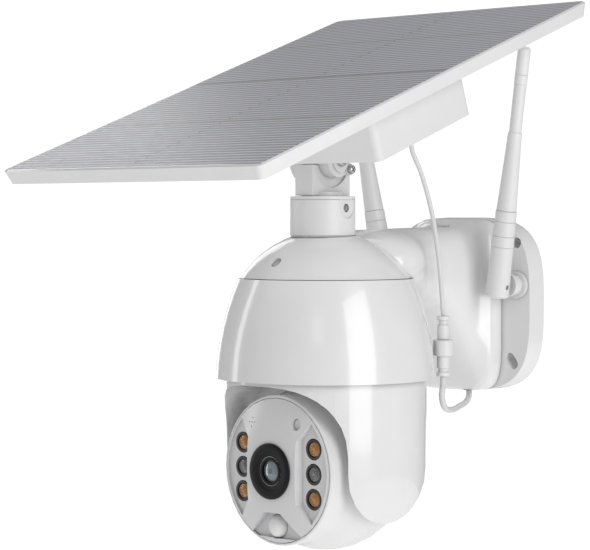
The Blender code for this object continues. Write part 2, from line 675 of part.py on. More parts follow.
def build_collar(dome):
    """The ring that holds the panel's post, with its set screw in a round-bottomed flat."""
    edge = 0.0008
    neck = 0.0012
    lip_under = COLLAR_TOP - COLLAR_LIP
    profile = [
        (COLLAR_BORE, COLLAR_TOP), (COLLAR_RADIUS - 0.0003, COLLAR_TOP), (COLLAR_RADIUS, COLLAR_TOP - 0.0003),
        (COLLAR_RADIUS, lip_under + 0.0002), (COLLAR_RADIUS - 0.0004, lip_under), (COLLAR_RADIUS, lip_under - 0.0004),
        (COLLAR_RADIUS, COLLAR_BOTTOM + neck), (COLLAR_RADIUS - edge, COLLAR_BOTTOM), (COLLAR_BORE, COLLAR_BOTTOM),
    ]
    at = (0, COLLAR_BEHIND, 0)
    collar = turn(add_part("collar", profile_mesh(profile, closed=True), "white_satin", dome, at), 32)
    flat = [*arc((0, 0), 0.0058, 180, 360, 8), (0.0058, 0.0046), (-0.0058, 0.0046)]
    flat_mesh = plate_mesh([flat], 0, 0.01)
    flat_mesh.transform(Matrix(((0, 0, 1, 0), (1, 0, 0, 0), (0, 1, 0, 0), (0, 0, 0, 1))))
    flat_at = (COLLAR_RADIUS - 0.0011, COLLAR_BEHIND, SET_SCREW_HEIGHT)
    combine(collar, add_cutter("collar_flat", flat_mesh, dome, flat_at))
    hole_at = (COLLAR_BEHIND, SET_SCREW_HEIGHT)
    hole = rod_mesh(SET_SCREW_RADIUS + GAP, 0, 0.03, "X", hole_at, 16)
    combine(collar, add_cutter("set_screw_hole", hole, dome))
    screw = rod_mesh(SET_SCREW_RADIUS, COLLAR_BORE + GAP, COLLAR_RADIUS - 0.0016, "X", hole_at, 16)
    add_part("collar_set_screw", screw, "steel", dome)


def build_pan_drive_mount(dome):
    """The plate that carries the head, the pan motor on it and the main board above."""
    reach = shroud_side(-SHROUD_WALL - RUNNING, MOTOR_PLATE_HEIGHT + MOTOR_PLATE_THICK)[0][0]
    low, high = MOTOR_PLATE_HEIGHT, MOTOR_PLATE_HEIGHT + MOTOR_PLATE_THICK
    centre_distance = GEAR_MODULE * (GEAR_TEETH + PINION_TEETH) / 2
    holes = [arc((0, 0), HUB_RADIUS + RUNNING, 360, 0, 24)[:-1]]
    holes.append(arc((0, centre_distance), PINION_SHAFT_RADIUS + RUNNING, 360, 0, 12)[:-1])
    outline = arc((0, 0), reach, 0, 360, DOME_STEPS)[:-1]
    add_part("motor_plate", plate_mesh([outline, *holes], low, high), "acetal", dome)
    motor_low = high + GAP
    motor = [
        (PINION_SHAFT_RADIUS + RUNNING, motor_low + PAN_MOTOR_HEIGHT), (PAN_MOTOR_RADIUS, motor_low + PAN_MOTOR_HEIGHT),
        (PAN_MOTOR_RADIUS, motor_low), (PINION_SHAFT_RADIUS + RUNNING, motor_low),
    ]
    turn(add_part("pan_motor", profile_mesh(motor, closed=True), "motor", dome, (0, centre_distance, 0)), 24)
    board = box_mesh(MAIN_BOARD, (0, 0, MAIN_BOARD_HEIGHT))
    add_part("main_board", board, "board", dome)


# ---- Panel side -----------------------------------------------------------------------------
def build_post(swivel):
    """The post that turns in the collar and carries the tilt eye."""
    shoulder = PIVOT_HEIGHT - PIVOT_TO_POST_SHOULDER
    foot = COLLAR_TOP + GAP
    size = (POST_WIDTH, POST_DEPTH, shoulder - foot)
    post = add_part("post", box_mesh(size, (0, 0, (shoulder + foot) / 2)), "white_satin", swivel)
    eye = rod_mesh(EYE_RADIUS, -POST_WIDTH / 2, POST_WIDTH / 2, "X", (0, PIVOT_HEIGHT), 32)
    combine(post, add_cutter("post_eye", eye, swivel), "UNION")
    spigot = rod_mesh(COLLAR_BORE - GAP, COLLAR_BOTTOM + 0.004, foot + 0.002, steps=32)
    combine(post, add_cutter("post_spigot", spigot, swivel), "UNION")
    inner = POST_WIDTH / 2 - EAR_POCKET_DEPTH
    for side in (1, -1):
        ends = sorted((side * inner, side * (inner + 0.01)))
        pocket = rod_mesh(EAR_POCKET_RADIUS, *ends, "X", (0, PIVOT_HEIGHT), 40)
        combine(post, add_cutter("ear_pocket", pocket, swivel))
    bore = rod_mesh(PIVOT_BOLT_RADIUS + GAP, -0.02, 0.02, "X", (0, PIVOT_HEIGHT), 16)
    combine(post, add_cutter("post_bore", bore, swivel))
    low = COLLAR_BOTTOM - 0.0016
    clip = [(COLLAR_BORE - 0.003, low + 0.0045), (COLLAR_BORE - 0.0005, low + 0.0045), (COLLAR_BORE - 0.0005, low),
            (COLLAR_BORE - 0.003, low)]
    turn(add_part("post_clip", profile_mesh(clip, closed=True), "steel", swivel), 24)


def build_hinge(tilt):
    """The bracket under the battery box, its pivot bolt and nut, and the tilt-lock screw."""
    top = PANEL_FACE - BOX_BOTTOM - GAP
    plate = 0.0014
    inner = POST_WIDTH / 2 - EAR_POCKET_DEPTH + GAP
    bracket = add_part("hinge_bracket", box_mesh((0.046, 0.036, plate), (0, 0, top - plate / 2)), "white_satin", tilt)
    for side in (1, -1):
        radius, outer = (SMALL_EAR_RADIUS, SMALL_EAR_OUTER) if side > 0 else (EAR_RADIUS, EAR_OUTER)
        ear = [*arc((0, 0), radius, 180, 360, 16), (radius, top - plate / 2), (-radius, top - plate / 2)]
        ends = sorted((side * inner, side * outer))
        mesh = plate_mesh([ear], *ends)
        mesh.transform(Matrix(((0, 0, 1, 0), (1, 0, 0, 0), (0, 1, 0, 0), (0, 0, 0, 1))))
        combine(bracket, add_cutter("ear", mesh, tilt), "UNION")
        ends = sorted((side * (outer - 0.001), side * (outer + BOSS_PROUD)))
        boss = rod_mesh(radius - 0.0036, *ends, "X", (0, -0.001), 28)
        combine(bracket, add_cutter("ear_boss", boss, tilt), "UNION")
    lug = rod_mesh(LOCK_LUG_RADIUS, inner + 0.0002, SMALL_EAR_OUTER + BOSS_PROUD - 0.0003, "X", LOCK_SCREW_AT, 24)
    combine(bracket, add_cutter("lock_lug", lug, tilt), "UNION")
    bore = rod_mesh(PIVOT_BOLT_RADIUS + GAP, -0.02, 0.02, "X", steps=16)
    combine(bracket, add_cutter("bracket_bore", bore, tilt))
    lock_hole = rod_mesh(0.0013 + GAP, 0.0, 0.02, "X", LOCK_SCREW_AT, 12)
    combine(bracket, add_cutter("lock_hole", lock_hole, tilt))
    face, far = SMALL_EAR_OUTER + BOSS_PROUD + GAP, EAR_OUTER + BOSS_PROUD + GAP
    end = -face - far - 0.002
    bolt = [(0, 0.0022), (0.0033, 0.0022), (0.0037, 0.0018), (0.0037, 0), (PIVOT_BOLT_RADIUS, 0),
            (PIVOT_BOLT_RADIUS, end), (0, end)]
    turn(add_part("pivot_bolt", profile_mesh(bolt), "steel", tilt, (face, 0, 0), (0, math.radians(90), 0)), 16)
    outlines = [arc((0, 0), 0.0046, 0, 360, 6)[:-1], arc((0, 0), PIVOT_BOLT_RADIUS + GAP, 360, 0, 16)[:-1]]
    nut = plate_mesh(outlines, -far - 0.0030, -far)
    nut.transform(TURN_TO["X"])
    add_part("pivot_nut", nut, "steel", tilt)
    tip = inner - face + 0.0005
    lock = [(0, 0.0022), (LOCK_SCREW_RADIUS - 0.0006, 0.0022), (LOCK_SCREW_RADIUS, 0.0014), (LOCK_SCREW_RADIUS, 0),
            (0.0013, 0), (0.0013, tip), (0, tip)]
    screw = add_part("tilt_lock_screw", profile_mesh(lock), "steel", tilt, (face, *LOCK_SCREW_AT), (0, math.radians(90), 0))
    turn(screw, 16)


def build_panel(tilt):
    """The framed laminate and its battery box, centred over the pivot and square to the tilt."""
    width = LAMINATE_WIDTH + 2 * FRAME_BORDER
    length = LAMINATE_LENGTH + 2 * FRAME_BORDER
    sections = []
    for depth, inset in ((0.0, 0.0008), (0.0008, 0.0), (FRAME_DEPTH, FRAME_DRAFT)):
        outline = rounded_rectangle(width - 2 * inset, length - 2 * inset, 0.004)
        sections.append([(x, y, PANEL_FACE - depth) for x, y in outline])
    frame = add_part("panel_frame", loft_mesh(sections), "white_gloss", tilt)
    seat = LAMINATE_THICK + GAP
    pocket = box_mesh((LAMINATE_WIDTH + 2 * GAP, LAMINATE_LENGTH + 2 * GAP, 0.02), (0, 0, PANEL_FACE - seat + 0.01))
    combine(frame, add_cutter("laminate_seat", pocket, tilt))
    under = PANEL_FACE - seat - FRAME_FLOOR
    inner = (width - 2 * FRAME_DRAFT - 2 * FRAME_WALL, length - 2 * FRAME_DRAFT - 2 * FRAME_WALL, 0.02)
    combine(frame, add_cutter("frame_underside", box_mesh(inner, (0, 0, under - 0.01)), tilt))
    wire_hole = rod_mesh(0.004, 0, 0.1, at=(0, 0), steps=12)
    combine(frame, add_cutter("frame_wire_hole", wire_hole, tilt))
    laminate = box_mesh((LAMINATE_WIDTH, LAMINATE_LENGTH, LAMINATE_THICK), (0, 0, PANEL_FACE - LAMINATE_THICK / 2))
    add_part("solar_laminate", laminate, "cells", tilt)
    build_battery_box(tilt, under)


def build_battery_box(tilt, ceiling):
    """The box under the panel, open to it, with two cells and the lead's gland."""
    low = PANEL_FACE - BOX_BOTTOM
    high = ceiling - GAP
    outer = rounded_rectangle(BOX_WIDTH, BOX_LENGTH, BOX_EDGE)
    box = add_part("battery_box", plate_mesh([outer], low, high), "white_satin", tilt)
    round_edges(box, 0.0012, 1)
    inner = rounded_rectangle(BOX_WIDTH - 2 * BOX_WALL, BOX_LENGTH - 2 * BOX_WALL, BOX_EDGE - BOX_WALL / 2)
    combine(box, add_cutter("box_hollow", plate_mesh([inner], low + BOX_WALL, high + 0.01), tilt))
    lead_hole = rod_mesh(THIN_LEAD / 2, low - 0.01, low + 0.01, at=PANEL_GLAND_AT, steps=12)
    combine(box, add_cutter("lead_hole", lead_hole, tilt))
    for number, side in ((1, 1), (2, -1)):
        height = low + BOX_WALL + GAP + CELL_RADIUS
        cell = rod_mesh(CELL_RADIUS, -CELL_LENGTH / 2, CELL_LENGTH / 2, "X", (side * CELL_PITCH / 2, height), 20)
        add_part(f"battery_cell_{number}", cell, "battery", tilt)
    bottom = low - GAP
    gland = [
        (PANEL_GLAND_RADIUS, bottom), (PANEL_GLAND_RADIUS, bottom - 0.0012),
        (PANEL_GLAND_RADIUS - 0.001, bottom - PANEL_GLAND_LENGTH), (0, bottom - PANEL_GLAND_LENGTH),
    ]
    turn(add_part("panel_gland", profile_mesh([(0, bottom), *gland]), "rubber", tilt, (*PANEL_GLAND_AT, 0)), 16)


# ---- Head side ------------------------------------------------------------------------------
def build_yoke(pan):
    """The turning yoke: a capsule with a slot for the head, a hub, and its trunnions."""
    lower = [(YOKE_RADIUS * math.cos(a), TILT_HEIGHT - YOKE_BELOW * math.sin(a)) for a in
             [math.radians(90) * step / 10 for step in range(11)]]
    profile = [
        (0, HUB_TOP), (HUB_RADIUS, HUB_TOP), (HUB_RADIUS, YOKE_TOP), (YOKE_RADIUS - 0.0015, YOKE_TOP),
        (YOKE_RADIUS, YOKE_TOP - 0.0015), *lower[:-1], (0, TILT_HEIGHT - YOKE_BELOW),
    ]
    yoke = turn(add_part("yoke", profile_mesh(profile), "white_gloss", pan), DOME_STEPS)
    upper = [p for p in superellipse(SLOT_HALF_WIDTH, ARCH_RISE, ARCH_SQUARENESS, 40) if p[1] > 0]
    outline = [(SLOT_HALF_WIDTH, -0.08), *upper, (-SLOT_HALF_WIDTH, -0.08)]
    slot = plate_mesh([outline], -0.08, 0.08, "-Y")
    combine(yoke, add_cutter("yoke_slot", slot, pan, (0, 0, TILT_HEIGHT)))
    sweep = add_cutter("face_sweep", ball_mesh(SWEEP_RADIUS, 36, 22), pan, (0, 0, TILT_HEIGHT))
    inside = add_cutter("sweep_sides", box_mesh((2 * SLOT_HALF_WIDTH - GAP, 0.2, 0.2)), pan, (0, 0, TILT_HEIGHT))
    combine(yoke, combine(sweep, inside, "INTERSECT"))
    wires = rod_mesh(0.0045, -0.02, 0.05, steps=16)
    combine(yoke, add_cutter("hub_wires", wires, pan))
    outer = YOKE_RADIUS - 0.004
    bore = rod_mesh(TRUNNION_RADIUS + GAP, -outer, outer, "X", (0, TILT_HEIGHT), 24)
    combine(yoke, add_cutter("trunnion_bore", bore, pan))
    for side, word in ((1, "right"), (-1, "left")):
        ends = sorted((side * (BALL_HALF_WIDTH - BALL_WALL - 0.001), side * (outer - GAP)))
        add_part("trunnion_" + word, rod_mesh(TRUNNION_RADIUS, *ends, "X", (0, TILT_HEIGHT), 24), "steel", pan)
    bottom = MOTOR_PLATE_HEIGHT + MOTOR_PLATE_THICK + GAP
    ring = [(HUB_RADIUS + GAP, bottom + 0.002), (0.0150, bottom + 0.002), (0.0150, bottom), (HUB_RADIUS + GAP, bottom)]
    turn(add_part("pan_retainer", profile_mesh(ring, closed=True), "steel", pan), 32)


def gear_outline(teeth, turn_by):
    """A spur gear's outline with straight-sided teeth, turned by an angle."""
    pitch_radius = GEAR_MODULE * teeth / 2
    tip, root = pitch_radius + 0.8 * GEAR_MODULE, pitch_radius - 1.1 * GEAR_MODULE
    pitch = 2 * math.pi / teeth
    points = []
    for tooth in range(teeth):
        middle = turn_by + tooth * pitch
        for radius, share in ((root, -0.72), (tip, -0.22), (tip, 0.22), (root, 0.72)):
            angle = middle + share * 2 * TOOTH_SHARE * pitch / 2
            points.append((radius * math.cos(angle), radius * math.sin(angle)))
    return points


def build_pan_gears(dome, pan):
    """The ring gear on the yoke's hub and the motor's pinion, in mesh."""
    low, high = GEAR_HEIGHT, GEAR_HEIGHT + GEAR_THICK
    bore = arc((0, 0), HUB_RADIUS + GAP, 360, 0, 24)[:-1]
    gear = plate_mesh([gear_outline(GEAR_TEETH, -HEAD_REST_TURN), bore], low, high)
    add_part("pan_gear", gear, "acetal", pan)
    centre_distance = GEAR_MODULE * (GEAR_TEETH + PINION_TEETH) / 2
    axis = empty("pan_pinion_axis", dome, (0, centre_distance, 0))
    half_pitch = math.pi / PINION_TEETH
    pinion = add_part("pan_pinion", plate_mesh([gear_outline(PINION_TEETH, half_pitch)], low, high), "acetal", axis)
    top = MOTOR_PLATE_HEIGHT + MOTOR_PLATE_THICK + GAP + PAN_MOTOR_HEIGHT - 0.002
    shaft = rod_mesh(PINION_SHAFT_RADIUS, high - 0.001, top, steps=16)
    combine(pinion, add_cutter("pinion_shaft", shaft, axis), "UNION")


def forward(obj):
    """Point an object's local Z out of the lens, along -Y of its body."""
    obj.rotation_euler = (math.radians(90), 0, 0)
    return obj


def build_head(tilt):
    """The ball that tilts in the yoke: shell, face, lens, lamps, sensor and drive."""
    build_head_shell(tilt)
    build_face(tilt)
    build_lens(tilt)
    build_lamps(tilt)
    motor = rod_mesh(TILT_MOTOR_RADIUS, *TILT_MOTOR_X, "X", steps=24)
    add_part("tilt_motor", motor, "motor", tilt)


def build_head_shell(tilt):
    """A ball flattened where it faces the yoke's arms, with a short drum round the face."""
    meet = math.sqrt(BALL_RADIUS**2 - DRUM_RADIUS**2)
    lowest = math.asin(meet / BALL_RADIUS)
    side = [(BALL_RADIUS * math.cos(a), BALL_RADIUS * math.sin(a)) for a in
            [lowest + (-math.pi / 2 - lowest) * step / 16 for step in range(17)]]
    outer = [(0, DRUM_FRONT), (DRUM_RADIUS - 0.0006, DRUM_FRONT), (DRUM_RADIUS, DRUM_FRONT - 0.0006)]
    profile = [*outer, *side[:-1], (0, -BALL_RADIUS)]
    shell = forward(turn(add_part("head_shell", profile_mesh(profile), "white_gloss", tilt), 36))
    width = 2 * BALL_HALF_WIDTH
    combine(shell, add_cutter("ball_flats", box_mesh((width, 0.2, 0.2)), tilt), "INTERSECT")
    inside = add_cutter("ball_hollow", ball_mesh(BALL_RADIUS - BALL_WALL, 24, 14), tilt)
    combine(inside, add_cutter("ball_inner_flats", box_mesh((width - 2 * BALL_WALL, 0.2, 0.2)), tilt), "INTERSECT")
    combine(shell, inside)
    bore = rod_mesh(TRUNNION_RADIUS + GAP, -0.06, 0.06, "X", steps=24)
    combine(shell, add_cutter("ball_bore", bore, tilt))
    mouth = rod_mesh(FACE_RADIUS + GAP, 0.0187, 0.06, "-Y", steps=44)
    combine(shell, add_cutter("face_mouth", mouth, tilt))


def recess_outline(side):
    """One lamp recess on the face: pointed above and below, with a straight inner wall."""
    apex_x, apex_z = RECESS_APEX
    start = math.degrees(math.atan2(apex_z, apex_x))
    outer = arc((0, 0), RECESS_EDGE_RADIUS, -start, start, 8)
    points = [*outer, (RECESS_INNER_X, RECESS_SHOULDER), (RECESS_INNER_X, -RECESS_SHOULDER)]
    return [(side * x, z) for x, z in points]


def build_face(tilt):
    """The grey face: a shallow crown with two lamp recesses, a PIR notch and the lens bore."""
    crown = [(0, FACE_CROWN), (FACE_FLAT_RADIUS, FACE_CROWN - 0.0001)]
    for step in range(1, 5):
        share = step / 4
        radius = FACE_FLAT_RADIUS + (FACE_RADIUS - FACE_FLAT_RADIUS) * share
        crown.append((radius, FACE_CROWN - (FACE_CROWN - FACE_RIM) * share**1.6))
    face = forward(turn(add_part("face_plate", profile_mesh([*crown, (FACE_RADIUS, FACE_BACK), (0, FACE_BACK)]), "grey_face", tilt), 40))
    for side in (1, -1):
        recess = plate_mesh([recess_outline(side)], LED_FLOOR, 0.06, "-Y")
        combine(face, add_cutter("lamp_recess", recess, tilt))
    top_x, top_z = PIR_RECESS_TOP
    foot_x, foot_z = PIR_RECESS_FOOT
    notch = [(top_x, -top_z), (-top_x, -top_z), (-foot_x, -foot_z), (foot_x, -foot_z)]
    combine(face, add_cutter("pir_notch", plate_mesh([notch], PIR_FLOOR, 0.06, "-Y"), tilt))
    for x, z in lamp_places():
        hole = rod_mesh(LED_RADIUS + GAP, FACE_BACK - 0.01, 0.06, "-Y", (x, z), 20)
        combine(face, add_cutter("lamp_hole", hole, tilt))
    for radius, at in (
        (BARREL_RADIUS + GAP, (0, 0)), (SENSOR_RADIUS + GAP, SENSOR_AT), (PIR_RADIUS + GAP, (0, -PIR_BELOW)),
    ):
        hole = rod_mesh(radius, FACE_BACK - 0.01, 0.06, "-Y", at, 20)
        combine(face, add_cutter("face_hole", hole, tilt))


def build_lens(tilt):
    """The black ring, the lens barrel behind it, the front glass and the sensor board."""
    base = FACE_CROWN + GAP
    ring = [
        (LENS_RING_BORE, LENS_RING_FRONT - 0.0012), (LENS_RING_BORE + 0.004, LENS_RING_FRONT),
        (LENS_RING_RADIUS - 0.0005, LENS_RING_FRONT), (LENS_RING_RADIUS, LENS_RING_FRONT - 0.0005),
        (LENS_RING_RADIUS, base), (LENS_RING_BORE, base),
    ]
    forward(turn(add_part("lens_ring", profile_mesh(ring, closed=True), "black_gloss", tilt), 32))
    barrel = [
        (LENS_GLASS_RADIUS + GAP, base), (BARREL_RADIUS, base), (BARREL_RADIUS, 0.012), (0.0045, 0.012),
        (0.0045, base - 0.004), (LENS_GLASS_RADIUS + GAP, base - 0.004),
    ]
    forward(turn(add_part("lens_barrel", profile_mesh(barrel, closed=True), "black_gloss", tilt), 24))
    low = base - 0.004 + GAP
    glass = [(0, low + 0.0030), (0.0030, low + 0.0026), (LENS_GLASS_RADIUS, low + 0.0014), (LENS_GLASS_RADIUS, low), (0, low)]
    forward(turn(add_part("lens_glass", profile_mesh(glass), "glass", tilt), 24))
    add_part("camera_board", box_mesh((0.030, 0.0016, 0.030), (0, -0.0105, 0)), "board", tilt)


def lamp_places():
    """Centres of the six lamps, as X and Z on the face."""
    return [(side * LED_X, row * LED_PITCH) for side in (1, -1) for row in (1, 0, -1)]


def build_lamps(tilt):
    """Six lamps on one ring board, amber and smoke in turn, the PIR lens and the light sensor."""
    board_back = FACE_BACK - 0.0022
    for number, (x, z) in enumerate(lamp_places(), 1):
        low = board_back + 0.0016 + GAP
        lamp = [(0, LED_FLOOR + 0.0012), (0.0030, LED_FLOOR + 0.0008), (LED_RADIUS - 0.0008, LED_FLOOR - 0.0006),
                (LED_RADIUS, LED_FLOOR - 0.0006), (LED_RADIUS, low), (0, low)]
        colour = "smoke" if z == 0 else "amber"
        forward(turn(add_part(f"lamp_{number}", profile_mesh(lamp), colour, tilt, (x, 0, z)), 16))
    rings = [arc((0, 0), FACE_RADIUS - 0.003, 0, 360, 32)[:-1], arc((0, 0), BARREL_RADIUS + 0.004, 360, 0, 24)[:-1]]
    board = plate_mesh(rings, board_back, board_back + 0.0016, "-Y")
    add_part("lamp_board", board, "board", tilt)
    low = board_back + 0.0016 + GAP
    dome = [(PIR_RADIUS * math.sin(a), PIR_FLOOR - 0.0010 + PIR_RADIUS * math.cos(a)) for a in
            [math.radians(15) * step for step in range(7)]]
    pir = profile_mesh([*dome, (PIR_RADIUS, low), (0, low)])
    forward(turn(add_part("pir_lens", pir, "pearl", tilt, (0, 0, -PIR_BELOW)), 20))
    top = FACE_RIM + 0.0008
    sensor = rod_mesh(SENSOR_RADIUS, low, top, "-Y", SENSOR_AT, 16)
    add_part("light_sensor", sensor, "pearl", tilt)


# ---- Leads ----------------------------------------------------------------------------------
def build_connector():
    """The in-line connector: a plug above, and a socket with its nut below."""
    x, y = PLUG_AT
    top = PLUG_TOP
    plug = [(0, 0), (0.0034, 0), (0.0037, -0.0004), (0.0037, -0.0020), (0.0026, -0.0023), (0.0026, -0.0046),
            (0.0034, -0.0050), (0.0034, -0.0128), (0, -0.0128)]
    turn(add_part("lead_plug", profile_mesh(plug), "white_satin", None, (x, y, top)), 20)
    first = -0.0128 - GAP
    socket = [(0, first), (0.0052, first), (0.0056, first - 0.0004), (0.0056, -0.0216), (0.0036, -0.0222),
              (0.0036, -0.0285), (0.0029, -0.0290), (0.0029, -0.0306), (0.0037, -0.0310), (0.0037, -PLUG_LENGTH), (0, -PLUG_LENGTH)]
    turn(add_part("lead_socket", profile_mesh(socket), "white_satin", None, (x, y, top)), 20)


def thin_lead_route():
    """The solar lead from the panel's gland down to the plug."""
    tilt = Matrix.Translation((0, -ARM_REACH + COLLAR_BEHIND, RIM_HEIGHT + PIVOT_HEIGHT)) @ Matrix.Rotation(PANEL_TILT, 4, "X")
    low = PANEL_FACE - BOX_BOTTOM - PANEL_GLAND_LENGTH - 2 * GAP
    start = tilt @ Vector((*PANEL_GLAND_AT, low))
    return [
        start,
        (0.0420, -0.1128, 0.0860),
        (0.0420, -0.1053, 0.0748),
        (0.0420, -0.0981, 0.0597),
        (0.0420, -0.0930, 0.0445),
        (0.0420, -0.0882, 0.0215),
        (PLUG_AT[0], PLUG_AT[1], PLUG_TOP + GAP),
    ]


def thick_lead_route():
    """The camera's lead from the socket, in a slack loop, up into the arm's foot."""
    return [
        (PLUG_AT[0], PLUG_AT[1], PLUG_TOP - PLUG_LENGTH - 2 * GAP),
        (0.0422, -0.0854, -0.0415),
        (0.0432, -0.0878, -0.0465),
        (0.0425, -0.0860, -0.0515),
        (0.0393, -0.0788, -0.0556),
        (0.0322, -0.0632, -0.0575),
        (0.0243, -0.0461, -0.0570),
        (0.0174, -0.0315, -0.0563),
        (0.0128, -0.0222, -0.0545),
        (GROMMET_AT[0] + 0.0004, GROMMET_AT[1] - 0.0006, FOOT_BOTTOM - 0.0019),
    ]


def build_leads():
    """Both leads; the thin one is two lengths that meet where the post's motion ends."""
    points = smooth_route(thin_lead_route(), 2.4 * THIN_LEAD)
    middle = len(points) // 2
    gap = (points[middle + 1] - points[middle]).normalized() * GAP / 2
    tube("solar_lead_upper", [*points[:middle], points[middle] - gap], THIN_LEAD, "white_satin")
    tube("solar_lead_lower", [points[middle] + gap, *points[middle + 1:]], THIN_LEAD, "white_satin")
    tube("camera_lead", smooth_route(thick_lead_route(), 2.4 * THICK_LEAD), THICK_LEAD, "white_satin")


def build_camera():
    """Build every sub-part of the camera."""
    dome = empty("dome_axis", None, (0, -ARM_REACH, RIM_HEIGHT))
    swivel = empty("panel_swivel_axis", dome, (0, COLLAR_BEHIND, 0))
    tilt = empty("panel_tilt_axis", swivel, (0, 0, PIVOT_HEIGHT), (PANEL_TILT, 0, 0))
    pan = empty("head_pan_axis", dome, (0, 0, 0), (0, 0, HEAD_REST_TURN))
    head = empty("head_tilt_axis", pan, (0, 0, TILT_HEIGHT))
    build_wall_plate()
    build_arm(dome)
    build_shroud(dome)
    build_collar(dome)
    build_pan_drive_mount(dome)
    build_post(swivel)
    build_hinge(tilt)
    build_panel(tilt)
    build_yoke(pan)
    build_pan_gears(dome, pan)
    build_head(head)
    for side, word in ((1, "right"), (-1, "left")):
        build_antenna(side, word)
    build_connector()
    build_leads()


clear_scene()
PARTS = new_collection(MODEL_NAME)
CUTTERS = new_collection("cutters", hidden=True)
build_camera()
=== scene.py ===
"""Solar security camera: finishes, lamps, lens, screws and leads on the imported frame."""

import json
import logging
import math
from dataclasses import dataclass, field
from enum import Enum

import bmesh
import bpy
from mathutils import Matrix, Vector


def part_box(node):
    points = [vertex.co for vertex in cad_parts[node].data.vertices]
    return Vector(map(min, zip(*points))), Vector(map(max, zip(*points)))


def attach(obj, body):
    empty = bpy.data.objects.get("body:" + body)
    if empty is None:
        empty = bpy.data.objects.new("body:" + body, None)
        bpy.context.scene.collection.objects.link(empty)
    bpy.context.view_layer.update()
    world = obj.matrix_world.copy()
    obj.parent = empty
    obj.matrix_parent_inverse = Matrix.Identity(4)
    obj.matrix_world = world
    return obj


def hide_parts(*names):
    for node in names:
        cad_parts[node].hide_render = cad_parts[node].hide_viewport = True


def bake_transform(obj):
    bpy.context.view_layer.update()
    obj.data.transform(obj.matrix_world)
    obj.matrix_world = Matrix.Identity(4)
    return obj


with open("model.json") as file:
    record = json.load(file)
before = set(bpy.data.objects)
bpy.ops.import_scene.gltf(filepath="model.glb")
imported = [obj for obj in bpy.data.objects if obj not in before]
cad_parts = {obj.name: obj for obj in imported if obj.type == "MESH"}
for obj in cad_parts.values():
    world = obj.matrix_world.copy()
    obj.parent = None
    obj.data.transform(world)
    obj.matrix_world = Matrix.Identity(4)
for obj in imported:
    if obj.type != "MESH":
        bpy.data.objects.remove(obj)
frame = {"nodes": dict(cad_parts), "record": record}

LOG = logging.getLogger("solar_camera")
MM = 0.001
TURNED_STEPS = 48
PANEL_TILT = math.radians(19.67)  # the panel's slope at rest


# ---- Small helpers --------------------------------------------------------------------------
def linear(code: str, alpha: float = 1.0) -> tuple[float, float, float, float]:
    """Turn an sRGB hex colour into the linear values that shaders take.

    Args:
        code: six hex digits, such as "F2F2F0".
        alpha: the fourth value.

    Returns:
        Linear red, green and blue, then alpha.
    """
    values = []
    for start in (0, 2, 4):
        part = int(code[start:start + 2], 16) / 255
        values.append(part / 12.92 if part <= 0.04045 else ((part + 0.055) / 1.055) ** 2.4)
    return (values[0], values[1], values[2], alpha)


def add_node(tree: bpy.types.NodeTree, kind: str, settings: dict | None = None,
             values: dict | None = None, links: dict | None = None) -> bpy.types.Node:
    """Add one node, set it and link it.

    Args:
        tree: the tree that takes the node.
        kind: the node's type name.
        settings: attributes of the node.
        values: input name or index to its constant.
        links: input name or index to the output socket that feeds it.

    Returns:
        The new node.
    """
    node = tree.nodes.new(kind)
    for name, value in (settings or {}).items():
        setattr(node, name, value)
    for name, value in (values or {}).items():
        node.inputs[name].default_value = value
    for name, socket in (links or {}).items():
        tree.links.new(socket, node.inputs[name])
    return node


def joint_frame(name: str) -> Matrix:
    """Give a joint's own axes, with the hinge axis as X and Z kept as upright as it can be.

    Args:
        name: a joint of the record.

    Returns:
        A matrix from the joint's axes to the row frame.
    """
    joint = next(j for j in frame["record"]["behaviour"]["joints"] if j["name"] == name)
    x = Vector(joint["axis"]).normalized()
    y = Vector((0, 0, 1)).cross(x).normalized()
    turn = Matrix((x, y, x.cross(y))).transposed().to_4x4()
    return Matrix.Translation(joint["pos_m"]) @ turn


HEAD = joint_frame("head_tilt")
PANEL = joint_frame("panel_tilt") @ Matrix.Rotation(PANEL_TILT, 4, "X")
OUT_OF_FACE = HEAD @ Matrix.Rotation(math.radians(90), 4, "X")  # its Z leaves the lens
OUTWARD = Matrix.Rotation(math.radians(90), 4, "Y")  # a screw's head points along +X


def link_mesh(name: str, bm: bmesh.types.BMesh, materials: list[bpy.types.Material],
              smooth_angle: float = 35.0) -> bpy.types.Object:
    """Turn a bmesh into a smooth-shaded object in the scene.

    Args:
        name: the piece's name.
        bm: its geometry, freed here.
        materials: its material slots in order.
        smooth_angle: edges sharper than this many degrees stay crisp.

    Returns:
        The new object.
    """
    bmesh.ops.recalc_face_normals(bm, faces=bm.faces[:])
    mesh = bpy.data.meshes.new(name)
    bm.to_mesh(mesh)
    bm.free()
    mesh.shade_smooth()
    mesh.set_sharp_from_angle(angle=math.radians(smooth_angle))
    for one in materials:
        mesh.materials.append(one)
    piece = bpy.data.objects.new(name, mesh)
    bpy.context.scene.collection.objects.link(piece)
    return piece


